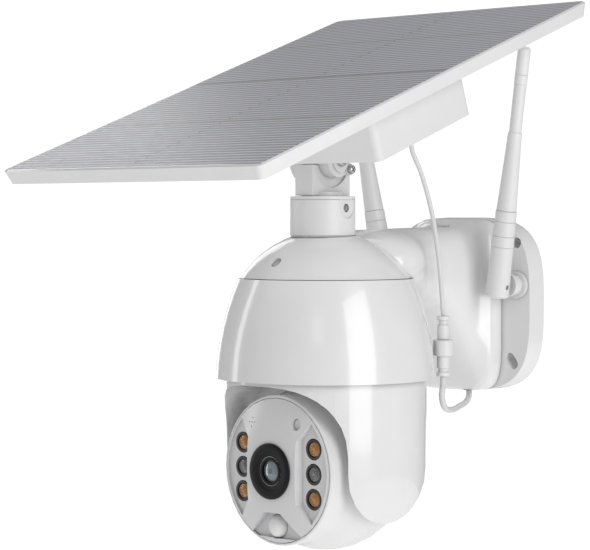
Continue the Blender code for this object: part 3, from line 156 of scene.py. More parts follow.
def turned(name: str, profile: list[tuple[float, float]], place: Matrix,
           materials: list[bpy.types.Material], slots: list[int] | None = None,
           steps: int = TURNED_STEPS) -> bpy.types.Object:
    """Spin a profile of radius and height, in millimetres, round the Z axis of a place.

    Args:
        name: the piece's name.
        profile: radius and height of each corner, from the axis outwards and back.
        place: the matrix that puts the axis where it belongs.
        materials: the material slots.
        slots: the slot of each band between two corners.
        steps: the number of sides.

    Returns:
        The new object.
    """
    bm = bmesh.new()
    rings: list[list[bmesh.types.BMVert]] = []
    for radius, height in profile:
        if radius < 1e-6:
            rings.append([bm.verts.new((0, 0, height * MM))])
            continue
        ring = []
        for step in range(steps):
            angle = 2 * math.pi * step / steps
            x, y = radius * MM * math.cos(angle), radius * MM * math.sin(angle)
            ring.append(bm.verts.new((x, y, height * MM)))
        rings.append(ring)
    for band, (near, far) in enumerate(zip(rings, rings[1:])):
        for i in range(steps):
            j = (i + 1) % steps
            corners = [near[i % len(near)], near[j % len(near)], far[j % len(far)], far[i % len(far)]]
            corners = list(dict.fromkeys(corners))
            if len(corners) > 2:
                face = bm.faces.new(corners)
                face.material_index = slots[band] if slots else 0
    bm.transform(place)
    return link_mesh(name, bm, materials)


def block(bm: bmesh.types.BMesh, size: tuple[float, float, float], place: Matrix) -> None:
    """Add a block to a bmesh.

    Args:
        bm: the geometry that takes the block.
        size: its sides, in millimetres.
        place: the matrix that puts its middle where it belongs.
    """
    scale = Matrix.Diagonal((size[0] * MM, size[1] * MM, size[2] * MM, 1))
    bmesh.ops.create_cube(bm, size=1.0, matrix=place @ scale)


def carve(piece: bpy.types.Object, cutter: bpy.types.Object) -> None:
    """Cut a piece with another mesh for good, and remove that mesh.

    Args:
        piece: the mesh object that is cut.
        cutter: the mesh object whose shape is taken out, whose parts may overlap.
    """
    modifier = piece.modifiers.new("carve", "BOOLEAN")
    modifier.solver = "EXACT"
    modifier.use_self = True
    modifier.object = cutter
    graph = bpy.context.evaluated_depsgraph_get()
    mesh = bpy.data.meshes.new_from_object(piece.evaluated_get(graph))
    piece.modifiers.clear()
    piece.data = mesh
    bpy.data.objects.remove(cutter, do_unlink=True)


# ---- Finishes -------------------------------------------------------------------------------
class Polish(Enum):
    """How a moulding tool leaves a plastic: roughness, then relief depth in millimetres."""

    GLOSS = (0.22, 0.004)
    SATIN = (0.40, 0.012)
    SPARKED = (0.56, 0.030)


def new_material(name: str) -> tuple[bpy.types.Material, bpy.types.NodeTree, bpy.types.Node, bpy.types.Node]:
    """Make a material with a Principled shader and object coordinates.

    Args:
        name: the material's name.

    Returns:
        The material, its tree, its shader and its coordinate node.
    """
    material = bpy.data.materials.new(name)
    material.use_nodes = True
    tree = material.node_tree
    tree.nodes.clear()
    shader = add_node(tree, "ShaderNodeBsdfPrincipled")
    add_node(tree, "ShaderNodeOutputMaterial", links={"Surface": shader.outputs["BSDF"]})
    return material, tree, shader, add_node(tree, "ShaderNodeTexCoord")


def ramp_between(tree: bpy.types.NodeTree, source: bpy.types.NodeSocket, low: float, high: float,
                 to_low: float, to_high: float) -> bpy.types.NodeSocket:
    """Map a value from one range to another.

    Args:
        tree: the material's tree.
        source: the value.
        low: the value that becomes to_low.
        high: the value that becomes to_high.
        to_low: one end of the result.
        to_high: the other end of the result.

    Returns:
        The mapped value.
    """
    mapped = add_node(tree, "ShaderNodeMapRange",
                      values={"From Min": low, "From Max": high, "To Min": to_low, "To Max": to_high},
                      links={"Value": source})
    return mapped.outputs["Result"]


@dataclass(frozen=True)
class MouldedPlastic:
    """Moulded or extruded plastic: even colour, a slow wave in the gloss and the tone, and painted shade that
    darkens its recesses.
    """

    name: str
    colour: str
    shade: str  # the colour of the painted shade in recesses, and the far end of a slow random tone wave
    polish: Polish
    grain_mm: float = 0.5
    ior: float = 1.54
    coat: float = 0.0
    subsurface: float = 0.0
    # how far the painted recess shade reaches
    crevice_mm: float = 5.0
    wave_mm: float = 26.0
    specular: float = 0.5

    def make(self) -> bpy.types.Material:
        """Build the material.

        Returns:
            The finished material.
        """
        roughness, relief = self.polish.value
        material, tree, shader, coords = new_material(self.name)
        flow = add_node(tree, "ShaderNodeTexNoise", values={"Scale": 1 / (self.wave_mm * MM), "Detail": 3.0},
                        links={"Vector": coords.outputs["Object"]})
        cloud = ramp_between(tree, flow.outputs["Fac"], 0.35, 0.68, 0.0, 0.08)
        # painted shade: ambient occlusion darkens the colour towards shade in recesses, mixed with a faint
        # random tone wave
        crevice = add_node(tree, "ShaderNodeAmbientOcclusion", {"samples": 6},
                           {"Distance": self.crevice_mm * MM})
        depth = ramp_between(tree, crevice.outputs["AO"], 0.25, 0.9, 1.0, 0.0)
        tone_and_painted_shade = add_node(tree, "ShaderNodeMath", {"operation": "MAXIMUM"},
                        links={0: cloud, 1: depth})
        tint = add_node(tree, "ShaderNodeMix", {"data_type": "RGBA"},
                        {6: linear(self.colour), 7: linear(self.shade)}, {0: tone_and_painted_shade.outputs[0]})
        tree.links.new(tint.outputs[2], shader.inputs["Base Color"])
        polish = ramp_between(tree, flow.outputs["Fac"], 0.3, 0.7, roughness * 0.94, roughness * 1.06)
        tree.links.new(polish, shader.inputs["Roughness"])
        grain = add_node(tree, "ShaderNodeTexNoise",
                         values={"Scale": 1 / (self.grain_mm * MM), "Detail": 2.0},
                         links={"Vector": coords.outputs["Object"]})
        bump = add_node(tree, "ShaderNodeBump", values={"Strength": 0.3, "Distance": relief * MM},
                        links={"Height": grain.outputs["Fac"]})
        tree.links.new(bump.outputs["Normal"], shader.inputs["Normal"])
        shader.inputs["IOR"].default_value = self.ior
        shader.inputs["Specular IOR Level"].default_value = self.specular
        shader.inputs["Coat Weight"].default_value = self.coat
        shader.inputs["Coat Roughness"].default_value = 0.06
        if self.subsurface:
            shader.inputs["Subsurface Weight"].default_value = self.subsurface
            shader.inputs["Subsurface Radius"].default_value = (1.0, 0.95, 0.9)
            shader.inputs["Subsurface Scale"].default_value = 1.5 * MM
        return material


@dataclass(frozen=True)
class TurnedMetal:
    """Plated metal: fine marks that break the highlight, a faint tarnish and slightly rounded rims."""

    name: str
    colour: str
    roughness: float
    pitch_mm: float = 0.25
    tarnish_mm: float = 4.0
    rim_mm: float = 0.15

    def make(self) -> bpy.types.Material:
        """Build the material.

        Returns:
            The finished material.
        """
        material, tree, shader, coords = new_material(self.name)
        scratches = add_node(tree, "ShaderNodeTexNoise",
                             values={"Scale": 1 / (self.pitch_mm * MM), "Detail": 4.0},
                             links={"Vector": coords.outputs["Object"]})
        dull = ramp_between(tree, scratches.outputs["Fac"], 0.3, 0.7,
                            self.roughness * 0.7, self.roughness * 1.4)
        tree.links.new(dull, shader.inputs["Roughness"])
        tarnish = add_node(tree, "ShaderNodeTexNoise",
                           values={"Scale": 1 / (self.tarnish_mm * MM), "Detail": 2.0},
                           links={"Vector": coords.outputs["Object"]})
        shade = ramp_between(tree, tarnish.outputs["Fac"], 0.3, 0.7, 0.88, 1.0)
        tint = add_node(tree, "ShaderNodeMix", {"data_type": "RGBA"},
                        {6: (0, 0, 0, 1), 7: linear(self.colour)}, {0: shade})
        tree.links.new(tint.outputs[2], shader.inputs["Base Color"])
        edge = add_node(tree, "ShaderNodeBevel", {"samples": 4}, {"Radius": self.rim_mm * MM})
        bump = add_node(tree, "ShaderNodeBump", values={"Strength": 0.3, "Distance": 0.005 * MM},
                        links={"Height": scratches.outputs["Fac"], "Normal": edge.outputs["Normal"]})
        tree.links.new(bump.outputs["Normal"], shader.inputs["Normal"])
        shader.inputs["Metallic"].default_value = 1.0
        return material


@dataclass(frozen=True)
class LampResin:
    """Cast epoxy over a lamp: a glassy surface over colour that swirls and deepens towards the rim."""

    name: str
    colour: str
    deep: str
    glow: float
    swirl_mm: float = 1.3

    def make(self) -> bpy.types.Material:
        """Build the material.

        Returns:
            The finished material.
        """
        material, tree, shader, coords = new_material(self.name)
        facing = add_node(tree, "ShaderNodeLayerWeight", values={"Blend": 0.35})
        swirl = add_node(tree, "ShaderNodeTexNoise",
                         values={"Scale": 1 / (self.swirl_mm * MM), "Detail": 2.0},
                         links={"Vector": coords.outputs["Object"]})
        mixed = add_node(tree, "ShaderNodeMath", {"operation": "MULTIPLY_ADD"}, {1: 0.45},
                         {0: swirl.outputs["Fac"], 2: facing.outputs["Facing"]})
        tint = add_node(tree, "ShaderNodeMix", {"data_type": "RGBA", "clamp_factor": True},
                        {6: linear(self.colour), 7: linear(self.deep)}, {0: mixed.outputs[0]})
        tree.links.new(tint.outputs[2], shader.inputs["Base Color"])
        shader.inputs["Roughness"].default_value = 0.16
        shader.inputs["IOR"].default_value = 1.53
        shader.inputs["Coat Weight"].default_value = 1.0
        shader.inputs["Coat Roughness"].default_value = 0.03
        shader.inputs["Subsurface Weight"].default_value = 0.35
        shader.inputs["Subsurface Scale"].default_value = 1.0 * MM
        shader.inputs["Emission Color"].default_value = linear(self.colour)
        shader.inputs["Emission Strength"].default_value = self.glow
        return material


@dataclass(frozen=True)
class CoatedGlass:
    """A polished front element: a hard highlight over the grey-blue bloom of its coating."""

    name: str = "coated_optical_glass"
    centre: str = "93A0A6"
    rim: str = "6A767D"
    bloom_mm: float = 9.0

    def make(self) -> bpy.types.Material:
        """Build the material.

        Returns:
            The finished material.
        """
        material, tree, shader, coords = new_material(self.name)
        bloom = add_node(tree, "ShaderNodeTexNoise",
                         values={"Scale": 1 / (self.bloom_mm * MM), "Detail": 1.0},
                         links={"Vector": coords.outputs["Object"]})
        facing = add_node(tree, "ShaderNodeLayerWeight", values={"Blend": 0.3})
        mixed = add_node(tree, "ShaderNodeMath", {"operation": "MULTIPLY_ADD"}, {1: 0.6},
                         {0: bloom.outputs["Fac"], 2: facing.outputs["Facing"]})
        tint = add_node(tree, "ShaderNodeMix", {"data_type": "RGBA", "clamp_factor": True},
                        {6: linear(self.centre), 7: linear(self.rim)}, {0: mixed.outputs[0]})
        tree.links.new(tint.outputs[2], shader.inputs["Base Color"])
        shader.inputs["Roughness"].default_value = 0.05
        shader.inputs["IOR"].default_value = 1.52
        shader.inputs["Coat Weight"].default_value = 1.0
        shader.inputs["Coat Roughness"].default_value = 0.02
        return material


@dataclass(frozen=True)
class SolarCells:
    """Monocrystalline cells under tempered glass: silver fingers, darker gaps, a broken centre line."""

    name: str = "laminated_solar_cells"
    cell: str = "ABACB8"
    cell_deep: str = "A2A3AF"
    finger: str = "F0F0F4"
    gap: str = "92908B"
    finger_pitch_mm: float = 4.0  # the real fingers stand half as far apart, too fine to show
    gap_rows_mm: tuple[float, ...] = (-68.8, 9.2, 82.2)
    gap_half_mm: float = 0.9
    middle_mm: float = 0.7
    middle_half_mm: float = 0.45
    cloud_mm: float = 30.0
    ripple_mm: float = 3.0

    def make(self) -> bpy.types.Material:
        """Build the material.

        Returns:
            The finished material.
        """
        material, tree, shader, coords = new_material(self.name)
        on_panel = add_node(tree, "ShaderNodeMapping", {"vector_type": "TEXTURE"},
                            {"Location": PANEL.translation, "Rotation": (PANEL_TILT, 0, 0)},
                            {"Vector": coords.outputs["Object"]})
        split = add_node(tree, "ShaderNodeSeparateXYZ", links={0: on_panel.outputs[0]})
        across, along = split.outputs["X"], split.outputs["Y"]
        fingers = self.comb(tree, along, self.finger_pitch_mm, 0.3)
        rows = None
        for at in self.gap_rows_mm:
            rows = self.join(tree, rows, self.line(tree, along, at, self.gap_half_mm))
        middle = self.line(tree, across, self.middle_mm, self.middle_half_mm)
        dashes = self.comb(tree, along, 2 * self.finger_pitch_mm, 0.5)
        broken = add_node(tree, "ShaderNodeMath", {"operation": "MULTIPLY"}, links={0: middle, 1: dashes})
        cloud = add_node(tree, "ShaderNodeTexNoise",
                         values={"Scale": 1 / (self.cloud_mm * MM), "Detail": 3.0},
                         links={"Vector": on_panel.outputs[0]})
        tint = add_node(tree, "ShaderNodeMix", {"data_type": "RGBA"},
                        {6: linear(self.cell), 7: linear(self.cell_deep)}, {0: cloud.outputs["Fac"]})
        lined = add_node(tree, "ShaderNodeMix", {"data_type": "RGBA"}, {7: linear(self.finger)},
                         {0: fingers, 6: tint.outputs[2]})
        halved = add_node(tree, "ShaderNodeMix", {"data_type": "RGBA"}, {7: linear(self.gap)},
                          {0: broken.outputs[0], 6: lined.outputs[2]})
        gaps = add_node(tree, "ShaderNodeMix", {"data_type": "RGBA"}, {7: linear(self.gap)},
                        {0: rows, 6: halved.outputs[2]})
        tree.links.new(gaps.outputs[2], shader.inputs["Base Color"])
        ripple = add_node(tree, "ShaderNodeTexNoise",
                          values={"Scale": 1 / (self.ripple_mm * MM), "Detail": 1.0},
                          links={"Vector": on_panel.outputs[0]})
        dull = ramp_between(tree, ripple.outputs["Fac"], 0.3, 0.7, 0.30, 0.38)
        tree.links.new(dull, shader.inputs["Roughness"])
        bump = add_node(tree, "ShaderNodeBump", values={"Strength": 0.2, "Distance": 0.02 * MM},
                        links={"Height": fingers})
        tree.links.new(bump.outputs["Normal"], shader.inputs["Normal"])
        shader.inputs["IOR"].default_value = 1.5
        return material

    def comb(self, tree: bpy.types.NodeTree, source: bpy.types.NodeSocket, pitch_mm: float,
             share: float) -> bpy.types.NodeSocket:
        """Draw evenly spaced lines.

        Args:
            tree: the material's tree.
            source: the distance that the lines cross, in metres.
            pitch_mm: from one line to the next.
            share: the part of the pitch that a line fills.

        Returns:
            One on a line, and nought between.
        """
        phase = add_node(tree, "ShaderNodeMath", {"operation": "MULTIPLY"}, {1: 1 / (pitch_mm * MM)},
                         {0: source})
        part = add_node(tree, "ShaderNodeMath", {"operation": "FRACT"}, links={0: phase.outputs[0]})
        return add_node(tree, "ShaderNodeMath", {"operation": "LESS_THAN"}, {1: share},
                        {0: part.outputs[0]}).outputs[0]

    def line(self, tree: bpy.types.NodeTree, source: bpy.types.NodeSocket, at_mm: float,
             half_mm: float) -> bpy.types.NodeSocket:
        """Draw one line at a distance.

        Args:
            tree: the material's tree.
            source: the distance that the line crosses, in metres.
            at_mm: the line's place.
            half_mm: half its width.

        Returns:
            One on the line, and nought beside it.
        """
        return add_node(tree, "ShaderNodeMath", {"operation": "COMPARE"}, {1: at_mm * MM, 2: half_mm * MM},
                        {0: source}).outputs[0]

    def join(self, tree: bpy.types.NodeTree, first: bpy.types.NodeSocket | None,
             second: bpy.types.NodeSocket) -> bpy.types.NodeSocket:
        """Join two masks into one.

        Args:
            tree: the material's tree.
            first: a mask, or None.
            second: another mask.

        Returns:
            Whichever of the two is higher, or the second where there is no first.
        """
        if first is None:
            return second
        higher = add_node(tree, "ShaderNodeMath", {"operation": "MAXIMUM"}, links={0: first, 1: second})
        return higher.outputs[0]


@dataclass(frozen=True)
class CircuitBoard:
    """Glass-epoxy board under solder mask, with tracks that show as lighter cells."""

    name: str = "solder_masked_board"
    mask: str = "0F4A2A"
    track: str = "1E6B3F"
    cell_mm: float = 2.5

    def make(self) -> bpy.types.Material:
        """Build the material.

        Returns:
            The finished material.
        """
        material, tree, shader, coords = new_material(self.name)
        cells = add_node(tree, "ShaderNodeTexVoronoi", {"distance": "CHEBYCHEV"},
                         {"Scale": 1 / (self.cell_mm * MM)}, {"Vector": coords.outputs["Object"]})
        share = ramp_between(tree, cells.outputs["Distance"], 0.25, 0.35, 0.0, 1.0)
        tint = add_node(tree, "ShaderNodeMix", {"data_type": "RGBA"},
                        {6: linear(self.track), 7: linear(self.mask)}, {0: share})
        tree.links.new(tint.outputs[2], shader.inputs["Base Color"])
        shader.inputs["Roughness"].default_value = 0.35
        return material


@dataclass
class FinishBook:
    """Every material of the camera, made once and found by name."""

    made: dict[str, bpy.types.Material] = field(default_factory=dict)

    def stock(self) -> None:
        """Make each finish."""
        finishes = {
            # ABS from a polished tool: bright, with crisp reflections
            "white_gloss": MouldedPlastic("polished_white_abs", "ECECEC", "C0C0C2", Polish.GLOSS, coat=0.6),
            # ABS from a blasted tool: soft highlights, very fine grain
            "white_satin": MouldedPlastic("blasted_white_abs", "E6E6E6", "BEBEBF", Polish.SATIN, 0.35),
            # extruded PVC sheath: smooth, with a waxy highlight along its length
            "lead": MouldedPlastic("extruded_pvc_sheath", "DEDEDE", "BCBCBC", Polish.SATIN, 0.6, coat=0.15),
            # silver-pigmented polycarbonate: glossy pale grey, with painted shade that darkens its recesses
            "grey_face": MouldedPlastic("silver_grey_polycarbonate", "E2E2E3", "C8C8CA", Polish.GLOSS,
                                        0.3, 1.58),
            # black polycarbonate from a satin tool: nearly black, with a faint broad highlight
            "black_gloss": MouldedPlastic("black_polycarbonate", "151516", "0B0B0C", Polish.SATIN, 0.3, 1.58,
                                          specular=0.2),
            # the same plastic from a spark-eroded tool: matt black that swallows stray light
            "black_matt": MouldedPlastic("black_baffle", "19191A", "101011", Polish.SPARKED, 0.3, 1.58,
                                         specular=0.2),
            # polyethylene motion lens and light guide: milky, with light that sinks in
            "pearl": MouldedPlastic("milky_polyethylene", "EDEDEC", "D9D9D9", Polish.SATIN, 0.5, 1.51,
                                    subsurface=0.35),
            # acetal gears and motor plate, never polished: dull ivory
            "acetal": MouldedPlastic("moulded_acetal", "CFCBBF", "B6B2A6", Polish.SPARKED, 0.4, 1.48),
            # shrink sleeve on a battery cell: glossy blue film
            "battery": MouldedPlastic("blue_shrink_sleeve", "1F5FA8", "194C86", Polish.GLOSS, 0.8),
            # moulded elastomer grommet and gland: dull light grey, with hardly a highlight
            "rubber": MouldedPlastic("moulded_tpe", "BDBDBC", "9A9A9A", Polish.SPARKED, 0.5, 1.5),
            # dark moulded bezel: a dull brown-black ring that sets the lamp off
            "bezel": MouldedPlastic("dark_lamp_bezel", "3A3632", "201E1C", Polish.SATIN, 0.3, 1.58),
            # nickel-plated steel screws: bright, with a broken highlight
            "steel": TurnedMetal("nickel_plated_steel", "C8C8CA", 0.22),
            # drawn and zinc-plated motor can: duller and greyer than the screws
            "motor": TurnedMetal("zinc_plated_can", "9C9C9E", 0.35, 0.6),
            # cast amber epoxy: orange where it faces the eye, brown at its rim
            "amber": LampResin("amber_epoxy", "C88A3A", "6E4A22", 0.0),
            # phosphor on the lamp's chip: a lighter spot in the amber, barely lit
            "amber_chip": LampResin("lamp_phosphor", "D9A050", "A8702C", 0.05),
            # smoked epoxy: glassy mid grey, darker at its rim
            "smoke": LampResin("smoked_epoxy", "7E7E80", "38383A", 0.0),
            # infrared chip under the epoxy: a pale grey spot
            "smoke_chip": LampResin("infrared_chip", "A9A9AA", "6A6A6C", 0.0),
            # coated front glass: grey-blue, darker where it turns away
            "lens": CoatedGlass(),
            # the aperture seen through the glass: the same bloom, one tone darker
            "pupil": CoatedGlass("lens_pupil", "7C888E", "4A545B"),
            # solar cells under satin glass: silver lines over mauve grey
            "laminate": SolarCells(),
            # solder-masked board: deep green with lighter tracks
            "board": CircuitBoard(),
        }
        for key, finish in finishes.items():
            self.made[key] = finish.make()

    def get(self, key: str) -> bpy.types.Material:
        """Find a finish by its short name."""
        return self.made[key]


# ---- The CAD nodes --------------------------------------------------------------------------
@dataclass
class Housing:
    """The frame's own nodes, welded, smoothed and dressed."""

    finishes: FinishBook
    weld_mm: float = 0.004
    crisp_degrees: float = 33.0

    def smoothing(self) -> bpy.types.NodeTree:
        """Build the node group that joins a solid's facets and shades its rounds.

        Returns:
            The geometry node group.
        """
        tree = bpy.data.node_groups.new("joined_and_smooth", "GeometryNodeTree")
        tree.interface.new_socket("Geometry", in_out="INPUT", socket_type="NodeSocketGeometry")
        tree.interface.new_socket("Geometry", in_out="OUTPUT", socket_type="NodeSocketGeometry")
        start = add_node(tree, "NodeGroupInput")
        merged = add_node(tree, "GeometryNodeMergeByDistance", values={"Distance": self.weld_mm * MM},
                          links={"Geometry": start.outputs[0]})
        plain = add_node(tree, "GeometryNodeRemoveAttribute", values={"Name": "custom_normal"},
                         links={"Geometry": merged.outputs[0]})
        smooth = add_node(tree, "GeometryNodeSetShadeSmooth", {"domain": "FACE"}, {"Shade Smooth": True},
                          {"Geometry": plain.outputs[0]})
        angle = add_node(tree, "GeometryNodeInputMeshEdgeAngle")
        crisp = add_node(tree, "FunctionNodeCompare", {"operation": "LESS_THAN"},
                         {1: math.radians(self.crisp_degrees)}, {0: angle.outputs["Unsigned Angle"]})
        edges = add_node(tree, "GeometryNodeSetShadeSmooth", {"domain": "EDGE"}, None,
                         {"Geometry": smooth.outputs[0], "Shade Smooth": crisp.outputs[0]})
        add_node(tree, "NodeGroupOutput", links={0: edges.outputs[0]})
        return tree

    def dress(self) -> None:
        """Give each node its smoothing and the finish of its slot."""
        group = self.smoothing()
        slots = {part["node"]: part["material_slot"] for part in frame["record"]["subparts"]}
        for name, node in frame["nodes"].items():
            modifier = node.modifiers.new("joined_and_smooth", "NODES")
            modifier.node_group = group
            for place in node.material_slots:
                place.material = self.finishes.get(slots[name])
        LOG.info("housing: %d nodes dressed", len(frame["nodes"]))


# ---- Camera face ----------------------------------------------------------------------------
@dataclass
class CameraFace:
    """What the face carries, in millimetres: lamps, lens, motion lens and microphone holes.

    Distances across the face start at the lens's middle, and distances ahead start at the tilt axis.
    """

    finishes: FinishBook
    lamp_x: float = 26.6
    lamp_pitch: float = 13.2
    lamp_floor: float = 36.6
    lamp_radius: float = 5.5
    ring_radius: float = 15.0
    ring_base: float = 42.7
    ring_bore: float = 7.0
    glass_radius: float = 6.8
    glass_crown: float = 2.2
    glass_sunk: float = 2.7
    pir_below: float = 29.8
    pir_radius: float = 6.3
    pir_centre: float = 34.8
    pir_foot: float = 33.0
    pir_groove: float = 0.06
    microphone_at: tuple[float, float] = (-16.2, 25.1)
    microphone_pitch: float = 2.3
    microphone_radius: float = 0.42
    microphone_ahead: float = 41.0
    microphone_depth: float = 6.0

    def build(self) -> None:
        """Build every piece on the face."""
        self.build_lamps()
        self.build_lens()
        self.build_motion_lens()
        self.build_microphone()

    def at(self, x: float, z: float, ahead: float = 0.0) -> Matrix:
        """Give a place on the face, x and z across it and a distance ahead of the tilt axis."""
        return OUT_OF_FACE @ Matrix.Translation((x * MM, z * MM, ahead * MM))

    def build_lamps(self) -> None:
        """Build each lamp: dark bezel, stepped resin dome and the chip under its middle.

        A profile runs from the chip outwards over the resin to the bezel, and back underneath.
        """
        number = 0
        for side in (1, -1):
            for row in (1, 0, -1):
                number += 1
                colour = "amber" if row else "smoke"
                place = self.at(side * self.lamp_x, row * self.lamp_pitch, self.lamp_floor)
                rim = self.lamp_radius
                profile = [
                    (0, 0.55), (0.75, 0.50), (1.05, 0.20), (1.5, 0.42), (2.1, 0.30), (2.45, -0.05),
                    (2.9, 0.10), (3.5, -0.12), (3.9, -0.55), (4.15, -0.62), (4.3, 0.02), (4.6, 0.16),
                    (5.1, 0.10), (rim, -0.25), (rim, -3.0), (0, -3.0),
                ]
                bands = [2, 2, 1, 1, 1, 1, 1, 1, 0, 0, 0, 0, 0, 0, 0]
                slots = [self.finishes.get(key) for key in ("bezel", colour, colour + "_chip")]
                piece = turned(f"face_lamp_{number}", profile, place, slots, bands)
                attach(piece, "camera_head")
                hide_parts(f"lamp_{number}")
        LOG.info("face: %d lamps", number)

    def build_lens(self) -> None:
        """Build the black ring with its stepped baffle, the domed front glass and the pupil behind it."""
        base, bore, rim = self.ring_base, self.ring_bore, self.ring_radius
        foot = base - self.glass_sunk
        ring = [
            (bore, base - 2.6), (bore + 0.1, base - 0.9), (bore + 0.6, base - 0.5), (bore + 2.2, base + 0.15),
            (bore + 3.2, base + 0.35), (bore + 3.5, base + 0.75), (bore + 5.0, base + 0.85),
            (rim - 0.7, base + 0.9), (rim - 0.15, base + 0.6), (rim, base), (bore + 1.0, base),
            (bore, base - 2.6),
        ]
        bands = [1, 1, 1, 1, 0, 0, 0, 0, 0, 0, 0]
        black = [self.finishes.get("black_gloss"), self.finishes.get("black_matt")]
        piece = turned("lens_hood", ring, self.at(0, 0), black, bands, 72)
        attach(piece, "camera_head")
        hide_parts("lens_ring")
        angles = [math.radians(degrees) for degrees in range(0, 91, 6)]
        dome = [(self.glass_radius * math.sin(angle), foot + self.glass_crown * math.cos(angle))
                for angle in angles]
        slots = [self.finishes.get("lens"), self.finishes.get("pupil")]
        bands = [1] * 2 + [0] * (len(dome) - 2)
        glass = turned("lens_front_glass", [*dome, (0, foot)], self.at(0, 0), slots, bands, 64)
        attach(glass, "camera_head")
        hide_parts("lens_glass")
        LOG.info("face: lens built")

    def build_motion_lens(self) -> None:
        """Build the milky motion lens with its moulded facets."""
        profile = []
        for step in range(19):
            angle = math.radians(5 * step)
            radius = self.pir_radius - (self.pir_groove if step % 3 == 1 else 0.0)
            profile.append((radius * math.sin(angle), self.pir_centre + radius * math.cos(angle)))
        profile += [(self.pir_radius, self.pir_foot), (0, self.pir_foot)]
        pearl = [self.finishes.get("pearl")]
        piece = turned("motion_lens", profile, self.at(0, -self.pir_below), pearl, None, 40)
        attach(piece, "camera_head")
        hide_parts("pir_lens")
        LOG.info("face: motion lens built")

    def build_microphone(self) -> None:
        """Drill the plus-shaped group of microphone holes into the face."""
        bm = bmesh.new()
        for dx, dz in ((0, 0), (1, 0), (-1, 0), (0, 1), (0, -1)):
            x = self.microphone_at[0] + dx * self.microphone_pitch
            z = self.microphone_at[1] + dz * self.microphone_pitch
            bmesh.ops.create_cone(bm, cap_ends=True, segments=16, radius1=self.microphone_radius * MM,
                                  radius2=self.microphone_radius * MM, depth=self.microphone_depth * MM,
                                  matrix=self.at(x, z, self.microphone_ahead))
        cutter = link_mesh("microphone_drill", bm, [])
        cutter.hide_render = True
        cutter.hide_viewport = True
        face = frame["nodes"]["face_plate"]
        modifier = face.modifiers.new("microphone", "BOOLEAN")
        modifier.solver = "EXACT"
        modifier.object = cutter
        again = face.modifiers.new("smooth_again", "NODES")
        again.node_group = face.modifiers["joined_and_smooth"].node_group
        LOG.info("face: microphone holes drilled")


# ---- Screws ---------------------------------------------------------------------------------
class Drive(Enum):
    """The recess in a screw's head."""

    CROSS = "cross"
    HEXAGON = "hexagon"


@dataclass
class Screw:
    """One visible screw, in millimetres, with its recess cut into a turned head."""

    name: str
    node: str
    body: str
    place: Matrix
    radius: float
    crown: float
    length: float
    drive: Drive
    finish: bpy.types.Material
    shank: float | None = None

    def build(self) -> None:
        """Build the screw where its node is."""
        shank = self.shank or self.radius
        profile = [
            (0, self.crown), (self.radius * 0.55, self.crown * 0.94), (self.radius * 0.86, self.crown * 0.72),
            (self.radius, self.crown * 0.35), (self.radius, 0), (shank, 0), (shank, -self.length),
            (0, -self.length),
        ]
        piece = turned(self.name, profile, Matrix.Identity(4), [self.finish], None, 32)
        bm = bmesh.new()
        if self.drive is Drive.CROSS:
            for quarter in (0, 1):
                turn = Matrix.Rotation(math.radians(90 * quarter + 20), 4, "Z")
                lift = Matrix.Translation((0, 0, self.crown * MM))
                block(bm, (self.radius * 1.15, self.radius * 0.26, self.crown * 1.1), lift @ turn)
        else:
            bmesh.ops.create_cone(bm, cap_ends=True, segments=6, radius1=self.radius * 0.55 * MM,
                                  radius2=self.radius * 0.55 * MM, depth=self.crown * 1.6 * MM,
                                  matrix=Matrix.Translation((0, 0, self.crown * MM)))
        carve(piece, link_mesh(self.name + "_recess", bm, []))
        if not piece.data.polygons:
            raise ValueError(f"{self.name} lost its shape to its recess")
        piece.data.transform(self.place)
        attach(piece, self.body)
        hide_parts(self.node)
        LOG.info("screw: %s", self.name)


@dataclass
class Hardware:
    """The visible screws of the hinge and the collar, in millimetres from the panel's tilt axis."""

    finishes: FinishBook
    lug_face: float = 13.0
    lock_along: float = 6.1
    lock_below: float = 7.5
    grub_crown: float = 0.6

    def build(self) -> None:
        """Build each screw at its node's own place."""
        steel = self.finishes.get("steel")
        lock = self.lug_face * MM, self.lock_along * MM, -self.lock_below * MM
        Screw("hinge_lock_screw", "tilt_lock_screw", "solar_panel",
              PANEL @ Matrix.Translation(lock) @ OUTWARD, radius=2.5, crown=2.2, length=7.2,
              drive=Drive.CROSS, finish=steel, shank=1.3).build()
        pivot = self.lug_face * MM, 0, 0
        Screw("hinge_pivot_bolt", "pivot_bolt", "solar_panel", PANEL @ Matrix.Translation(pivot) @ OUTWARD,
              radius=3.7, crown=2.2, length=29.8, drive=Drive.HEXAGON, finish=steel, shank=2.5).build()
        low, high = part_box("collar_set_screw")
        grub = high[0] - self.grub_crown * MM, (low[1] + high[1]) / 2, (low[2] + high[2]) / 2
        Screw("collar_grub_screw", "collar_set_screw", "mount", Matrix.Translation(grub) @ OUTWARD,
              radius=2.1, crown=self.grub_crown, length=3.0, drive=Drive.HEXAGON, finish=steel).build()


# ---- Leads ----------------------------------------------------------------------------------
def smooth_path(route: list[tuple[float, float, float]], spacing: float = 0.0025) -> list[Vector]:
    """Lay points along a smooth curve through a route.

    Args:
        route: the points that the curve goes through, in metres.
        spacing: the distance between two results, in metres.

    Returns:
        The points, ends included.
    """
    knots = [Vector(p) for p in route]
    knots = [2 * knots[0] - knots[1], *knots, 2 * knots[-1] - knots[-2]]
    points = []
    for a, b, c, d in zip(knots, knots[1:], knots[2:], knots[3:]):
        steps = max(2, round((c - b).length / spacing))
        for step in range(steps):
            t = step / steps
            points.append(0.5 * (2 * b + (c - a) * t + (2 * a - 5 * b + 4 * c - d) * t * t
                                 + (3 * b - a - 3 * c + d) * t ** 3))
    return [*points, knots[-2]]


def path_length(points: list[Vector]) -> float:
    """Measure a path from end to end."""
    return sum((b - a).length for a, b in zip(points, points[1:]))


